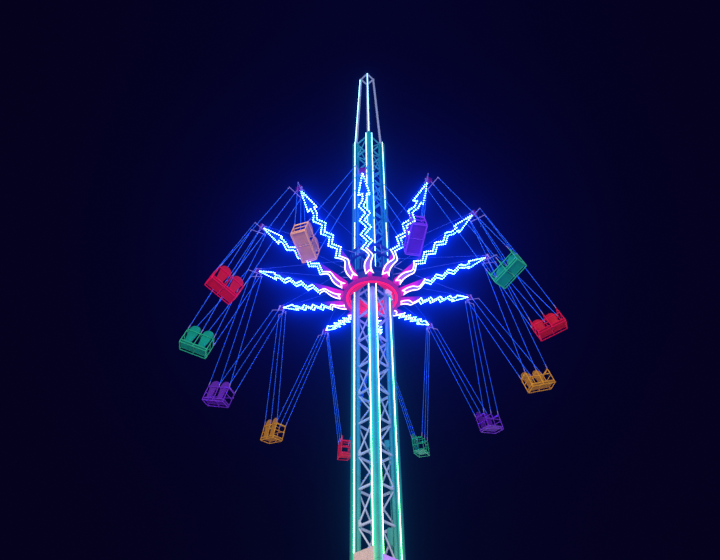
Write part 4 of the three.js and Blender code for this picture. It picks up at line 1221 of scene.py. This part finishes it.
def walk(line, pitch):
    """Points at an even pitch along a line."""
    spots, left_over = [], 0.0
    for a, b in zip(line, line[1:]):
        a, b = Vector(a), Vector(b)
        length = (b - a).length
        travelled = left_over
        while travelled < length:
            spots.append(a + (b - a) * (travelled / length))
            travelled += pitch
        left_over = travelled - length
    return spots


def dot_shape():
    """A small domed lamp cap that stands along Z."""
    form = Form()
    lathe(form, [(0.0150, -0.004), (0.0170, 0.0), (0.0158, 0.005), (0.0105, 0.0110), (0.0030, 0.0130)], 8,
          closed=False)
    return form


def light_boards():
    """The board of each arm, lamps in a trough along its rims, and lit tubes round its root."""
    left, right, notch = board_lines()
    outline = [notch] + left + right[::-1]
    place = board_place()
    nodes = [f"arm_{n:02d}" for n in range(1, ARMS + 1)]

    board = Form()
    plate(board, outline, BOARD_THICK - 0.002, place @ shift(0, 0, 0.002), 0.002)
    many("arm_boards", board, ARM_PLACES, board_painted_glow, "rotor", nodes)

    inner = inset(outline, 0.006)
    root_count = sum(1 for x, _ in left if x < (1.36 - ROOT_RADIUS) * STRETCH)
    root = inner[len(inner) - root_count:] + [inner[0]] + inner[1:root_count + 1]
    lamp = Form()
    sweep(lamp, [(x, y, -0.006) for x, y in root], box_profile(0.024, 0.014, 0.005), up=(0, 0, 1),
          chamfer=0.003, place=place)
    many("arm_root_tubes", lamp, ARM_PLACES, root_light, "rotor")

    rest = inner[root_count:len(inner) - root_count + 1]
    spots = [place @ shift(p.x, p.y, 0.002) @ turn_x(180) for p in walk(rest, LAMP_PITCH)]
    places = [arm @ spot for arm in ARM_PLACES for spot in spots]
    many("arm_dots", dot_shape(), places, dot_light, "rotor")
    trough = Form()
    sweep(trough, [(x, y, -0.001) for x, y in rest], box_profile(0.026, 0.006, 0.002), up=(0, 0, 1),
          chamfer=0.001, place=place)
    many("arm_dot_troughs", trough, ARM_PLACES, trough_painted_light, "rotor")

    halo = Form()
    outer = inset(outline, -0.004)
    edge = outer[len(outer) - root_count - 2:] + [outer[0]] + outer[1:root_count + 3]
    sweep(halo, [(x, y, BOARD_THICK / 2) for x, y in edge], box_profile(0.010, 0.014, 0.003), up=(0, 0, 1),
          chamfer=0.002, place=place)
    many("arm_halo_tubes", halo, ARM_PLACES, halo_light, "rotor")


def arm_steel():
    """A tapering box beam above each board, with ribs, board posts and a bolted foot."""
    place = board_place()
    beam = Form()
    low = BOARD_THICK + BOARD_DROP
    side = [(-0.008, low), (ARM_LENGTH, low), (ARM_LENGTH, low + 0.064), (-0.008, low + 0.132)]
    for sign in (-1, 1):
        web = place @ upright(sign * 0.026 + 0.003)
        plate(beam, inset(side, 0.004), 0.006, web, 0.001)
    for start, end in (((-0.008, 0, low + 0.003), (ARM_LENGTH, 0, low + 0.003)),
                       ((-0.008, 0, low + 0.129), (ARM_LENGTH, 0, low + 0.061))):
        bar(beam, start, end, 0.068, 0.006, 0.0015, up=(0, 0, 1), place=place)
    for along in np.linspace(0.02, ARM_LENGTH - 0.02, 9):
        top = low + 0.132 - 0.068 * along / ARM_LENGTH
        box_shape(beam, (along - 0.003, -0.033, low + 0.004), (along + 0.003, 0.033, top - 0.004), 0.001,
                  place)
    for along in (0.150, 1.120, 2.120):
        box_shape(beam, (along - 0.014, -0.014, BOARD_THICK - 0.001), (along + 0.014, 0.014, low + 0.001),
                  0.002, place)
    box_shape(beam, (0.684, -0.055, RING_TOP + REST_GAP), (0.800, 0.055, ARM_FOOT_TOP), 0.005)
    many("arm_beams", beam, ARM_PLACES, arm_paint, "rotor")
    heads = [arm @ shift(x, y, ARM_FOOT_TOP) for x in (0.700, 0.735) for arm in ARM_PLACES
             for y in (-0.042, 0.042)]
    bolts("arm_bolts", heads, 0.009, "rotor")


def tip_brackets():
    """Two plates round a pin at each tip, with a stub and a flange towards each neighbour's chair."""
    form = Form()
    splay = math.tan(math.radians(ARM_STEP / 2))
    inner = BRACKET_HALF - (PIVOT_RADIUS - 2.985) * splay
    outer = BRACKET_HALF + (3.092 - PIVOT_RADIUS) * splay
    outline = [(2.985, -inner), (3.092, -outer), (3.092, outer), (2.985, inner)]
    for low in (-0.038, 0.028):
        plate(form, outline, 0.010, shift(0, 0, PIVOT_LEVEL + low), 0.002)
    rod(form, (3.010, 0, PIVOT_LEVEL - 0.036), (3.010, 0, PIVOT_LEVEL + 0.036), 0.018, 20)
    for sign in (-1, 1):
        half_step = math.radians(ARM_STEP / 2)
        chord = Vector((-math.sin(half_step), sign * math.cos(half_step), 0))
        pivot = Vector((PIVOT_RADIUS, 0, PIVOT_LEVEL))
        rod(form, pivot + chord * 0.004, pivot + chord * 0.066, 0.020, 20)
        lathe(form, [(0.010, 0), (0.026, 0), (0.028, 0.002), (0.028, 0.008), (0.010, 0.008)], 24,
              place=facing(pivot + chord * 0.0590, chord))
    many("tip_brackets", form, ARM_PLACES, bracket_paint, "rotor")


def stays():
    """Two taut stays from each tip to the collar, with a fork at the collar and a turnbuckle near it."""
    wire, fittings = Form(), Form()
    for sign in (-1, 1):
        level = COLLAR_TOP - 0.014 if sign > 0 else COLLAR_BOTTOM + 0.014
        near = COLLAR_OUT + REST_GAP
        lug = turn_z(ARM_STEP * sign)
        box_shape(fittings, (near, -0.014, level - 0.014), (near + 0.030, 0.014, level + 0.014), 0.003, lug)
        hub = lug @ Vector((near + 0.015, 0, level))
        tip = Vector((3.015, sign * 0.030, PIVOT_LEVEL + 0.020))
        rod(wire, tip, hub, 0.0055, 10)
        way = (tip - hub).normalized()
        rod(fittings, hub + way * 0.10, hub + way * 0.24, 0.009, 12)
        rod(fittings, hub + way * 0.012, hub + way * 0.10, 0.0075, 12)
        rod(fittings, tip - way * 0.10, tip - way * 0.01, 0.0085, 12)
    many("arm_stays", wire, ARM_PLACES, stay_steel, "rotor")
    many("stay_fittings", fittings, ARM_PLACES, spreader_steel, "rotor")


# Chairs: the swing's own frame has X along the travel, Y outwards and Z up the ropes
FLOOR = -SWING_LENGTH


def looped(points, radius):
    """A closed path with every corner rounded."""
    path = []
    for before, corner, after in zip(points[-1:] + points[:-1], points, points[1:] + points[:1]):
        before, corner, after = Vector(before), Vector(corner), Vector(after)
        into, out = (corner - before).normalized(), (after - corner).normalized()
        start, end = corner - into * radius, corner + out * radius
        for step in range(CORNER_STEPS + 1):
            t = step / CORNER_STEPS
            path.append((1 - t) ** 2 * start + 2 * t * (1 - t) * corner + t * t * end)
    return path


def chair_frame():
    """Bent tubes: two side loops, front and rear double rails, lap bar, top rail and posts."""
    form = Form()
    tube = SEAT_TUBE / 2
    side, foot = SEAT_WIDTH / 2 - tube, SEAT_DEPTH / 2 - tube
    low, high = FLOOR - SEAT_DROP + tube, FLOOR + SEAT_TOP - tube
    deck = FLOOR + tube
    circle, thin = round_profile(tube, 12), tube * 0.92
    for y in (-side, side):
        sweep(form, looped([(-foot, y, low), (foot, y, low), (foot, y, high), (-foot, y, high)], 0.028),
              circle, closed=True)
        for level in (deck, FLOOR + SIDE_BAR):
            rod(form, (-foot, y, level), (foot, y, level), thin)
    for x in (-foot, foot):
        sweep(form, [(x, -side, low), (x, side, low)], circle)
        sweep(form, [(x, -side, deck), (x, side, deck)], circle)
        rod(form, (x, 0, low), (x, 0, high + tube), thin)
    sweep(form, [(-foot, -side, high), (-foot, side, high)], circle)
    lap = FLOOR + LAP_BAR
    sweep(form, [(foot, -side, lap), (foot, side, lap)], round_profile(tube * 1.05, 14))
    rod(form, (-foot, 0, deck), (foot, 0, deck), thin)
    top = FLOOR + SEAT_TOP + tube + REST_GAP
    for y in (-side, 0, side):
        rod(form, (-foot - tube, y, top), (foot + tube, y, top), tube * 0.9)
    return form


def pan_shape():
    """A shallow tray with a rolled rim."""
    form = Form()
    half_x, half_y = SEAT_DEPTH / 2 - 0.004, SEAT_WIDTH / 4 - 0.020
    corner = 0.026
    levels = [(0.010, 0.0), (0.002, -0.002), (0.0, 0.006), (0.001, 0.016), (0.006, 0.021), (0.014, 0.021),
              (0.020, 0.015), (0.030, 0.009), (0.060, 0.007)]
    steps = [(0.030, 0.0005, corner * 0.7), (0.018, -0.001, corner * 0.7)]
    steps += [(depth, z, max(0.006, corner - depth * 0.4)) for depth, z in levels]
    rings = []
    for depth, z, radius in steps:
        outline = box_profile(2 * (half_x - depth), 2 * (half_y - depth), radius, 4)
        rings.append([(x, y, z) for x, y in outline])
    stacked(form, rings)
    return form


def back_shape():
    """A disc back that narrows to its foot, dished in front with a rolled rim."""
    form = Form()
    rim = [(-0.072, 0.012), (0.072, 0.012)]
    for step in range(17):
        angle = math.radians(-22.5 + step * 225 / 16)
        rim.append((0.122 * math.cos(angle), 0.378 + 0.122 * math.sin(angle)))
    layers = [(0.020, 0.000), (0.006, -0.001), (0.0, 0.005), (0.0, 0.016), (0.004, 0.021), (0.012, 0.021),
              (0.020, 0.014), (0.040, 0.010)]
    stacked(form, [[(x, y, z) for x, y in inset(rim, depth)] for depth, z in layers])
    return form


def hanger_ropes():
    """Six taut ropes from the two spreaders to the seat's top, with a socket at each end."""
    wire, ends = Form(), Form()
    half, foot = SEAT_WIDTH / 2 - SEAT_TUBE / 2, SEAT_DEPTH / 2 - SEAT_TUBE / 2
    top = FLOOR + SEAT_TOP + SEAT_TUBE
    for sign in (-1, 1):
        for spot in (-1, 0, 1):
            a = Vector((sign * SPREADER_X, spot * (SPREADER_HALF - 0.008), -SPREADER_DROP))
            b = Vector((sign * foot, spot * half, top))
            way = (b - a).normalized()
            rod(wire, a + way * 0.03, b - way * 0.03, 0.0060, 10)
            rod(ends, a - way * 0.004, a + way * 0.075, 0.0085, 12)
            rod(ends, b - way * 0.085, b + way * 0.004, 0.0085, 12)
            lathe(ends, rectangle((0.0070, -0.004), (0.0115, 0.004)), 16, place=facing(b - way * 0.088, way))
    return wire, ends


def spreaders():
    """An eye, a drop bar and a cross tube with rope clamps at each side of the chair."""
    form = Form()
    for sign in (-1, 1):
        x = sign * SPREADER_X
        lathe(form, rim_profile(0.008, 0.024, -0.008, 0.008, 0.002), 28, place=facing((x, 0, 0), (1, 0, 0)))
        bar(form, (x, 0, -0.018), (x, 0, -SPREADER_DROP), 0.016, 0.022, 0.004, up=(1, 0, 0))
        sweep(form, [(x, -SPREADER_HALF, -SPREADER_DROP), (x, SPREADER_HALF, -SPREADER_DROP)],
              round_profile(0.0085, 14), chamfer=0.002)
        for y in (-1, 0, 1):
            lathe(form, rectangle((0.0085, -0.009), (0.0125, 0.009)), 16,
                  place=facing((x, y * (SPREADER_HALF - 0.012), -SPREADER_DROP), (0, 1, 0)))
    return form


def chairs():
    """All twelve double seats with their hangers, in four colours that take turns."""
    slots = ["seat_yellow", "seat_red", "seat_green", "seat_purple"]
    frame_form = chair_frame()
    pan, back = pan_shape(), back_shape()
    wire, ends = hanger_ropes()
    spread = spreaders()
    middle = SEAT_WIDTH / 4
    rear = -SEAT_DEPTH / 2 + SEAT_TUBE
    behind = axes((0, 1, 0), (0, 0, 1), (1, 0, 0), (rear + 0.0005, 0, FLOOR))
    for number in range(1, ARMS + 1):
        place = chair_place(number)
        body, tag = f"chair_{number:02d}", f"{number:02d}"
        slot = slots[number % 4]
        many(f"chair_tubes_{tag}", frame_form, [place], seat_tubes[slot], body, [f"seat_{tag}"])
        pans = [place @ shift(0, y, FLOOR + 0.004) for y in (-middle, middle)]
        many(f"chair_pans_{tag}", pan, pans, seat_shells[slot], body)
        backs = [place @ shift(0, y, 0) @ behind for y in (-middle, middle)]
        many(f"chair_backs_{tag}", back, backs, seat_shells[slot], body)
        many(f"ropes_{tag}", wire, [place], rope_steel, body, [f"hanger_{tag}"])
        many(f"rope_ends_{tag}", ends, [place], spreader_steel, body)
        many(f"spreaders_{tag}", spread, [place], spreader_steel, body)


# Stage, light and camera
def stage():
    """A pale floor, a very dark blue night, three soft suns and two soft boxes."""
    floor = Form()
    plate(floor, rectangle((-60, -60), (60, 60)), 0.05, shift(0, 0, -0.0501), 0.01)
    ground = floor.piece("floor")
    f = Finish("pale_floor")
    tone = f.noise(f.where.outputs["Object"], 0.6, 3)
    f.set(base=f.ramp(tone, [(0.3, (0.60, 0.60, 0.62)), (0.7, (0.66, 0.66, 0.68))]), rough=0.7)
    ground.data.materials.append(f.material)

    world = bpy.data.worlds.new("studio")
    bpy.context.scene.world = world
    world.use_nodes = True
    sky = world.node_tree.nodes["Background"]
    sky.inputs["Color"].default_value = (0.0013, 0.0006, 0.0046, 1.0)
    sky.inputs["Strength"].default_value = 1.0

    for name, angles, strength, spread, colour in (
            ("key", (55, 0, -40), 1.7, 40, (0.95, 0.96, 1.0)),
            ("fill", (65, 0, 60), 1.0, 60, (0.86, 0.90, 1.0)),
            ("back", (50, 0, 165), 0.7, 50, (0.86, 0.88, 1.0))):
        lamp = bpy.data.lights.new(name, "SUN")
        lamp.energy = strength
        lamp.angle = math.radians(spread)
        lamp.color = colour
        linked(name, lamp).rotation_euler = [math.radians(a) for a in angles]
    soft_box("front_softbox", (-3.0, -13.0, 5.6), 5.0, 750.0)
    soft_box("rear_softbox", (4.0, 12.0, 5.6), 5.0, 500.0)


def soft_box(name, spot, size, power):
    """A broad lamp below the arms, turned up to them, that lights the undersides."""
    lamp = bpy.data.lights.new(name, "AREA")
    lamp.shape = "DISK"
    lamp.size = size
    lamp.energy = power
    thing = linked(name, lamp)
    thing.matrix_world = facing(spot, Vector(spot) - Vector((0, 0, 12.5)))
    thing.visible_camera = False


def lamp_bloom():
    """Plain colour, with the bloom of bright lamps at night: a tight, a middle and a wide blue one."""
    scene = bpy.context.scene
    scene.view_settings.view_transform = "Standard"
    scene.use_nodes = True
    tree = scene.node_tree
    tree.nodes.clear()
    picture = tree.nodes.new("CompositorNodeRLayers").outputs["Image"]
    tight, middle, wide = (0.03, 1.05, 0.45), (0.0, 0.62, 0.0), (0.0, 0.02, 1.45)
    for strength, size, tint in ((0.10, 0.40, tight), (0.14, 0.70, middle), (1.0, 1.0, wide)):
        bloom = tree.nodes.new("CompositorNodeGlare")
        bloom.glare_type = "BLOOM"
        bloom.quality = "HIGH"
        for key, value in (("Threshold", 1.0), ("Strength", strength), ("Saturation", 1.0), ("Size", size)):
            bloom.inputs[key].default_value = value
        bloom.inputs["Tint"].default_value = (*tint, 1.0)
        tree.links.new(picture, bloom.inputs["Image"])
        picture = bloom.outputs["Image"]
    out = tree.nodes.new("CompositorNodeComposite")
    tree.links.new(picture, out.inputs["Image"])


def camera():
    """Stands on the ground in front of the ride and looks up at it, as the photograph does."""
    focal_pixels, photo_width = 663.66, 720
    data = bpy.data.cameras.new("camera")
    data.lens = focal_pixels / photo_width * 36.0
    data.sensor_width = 36.0
    data.sensor_fit = "HORIZONTAL"
    data.clip_end = 400
    eye = linked("camera", data)
    frame_turn = math.radians(-2.3)
    yaw, pitch, roll, distance = -0.02414, 0.76906, -0.00507, 12.296
    forward = Vector((math.sin(yaw) * math.cos(pitch), math.cos(yaw) * math.cos(pitch), math.sin(pitch)))
    right = Vector((math.cos(yaw), -math.sin(yaw), 0))
    up = right.cross(forward)
    side = math.cos(roll) * right + math.sin(roll) * up
    over = -math.sin(roll) * right + math.cos(roll) * up
    aim = axes(side, over, -forward, (0, -distance, 0.8))
    eye.matrix_world = Matrix.Rotation(frame_turn, 4, "Z") @ aim
    bpy.context.scene.camera = eye


camera()
stage()
lamp_bloom()
columns()
splices()
lattice()
gussets()
light_channels()
crown()
foot_panels()
base()
junction_boxes()
carriage()
slew_drive()
rotor_ring()
bearing_cover()
rotor_mast()
light_boards()
arm_steel()
tip_brackets()
stays()
chairs()
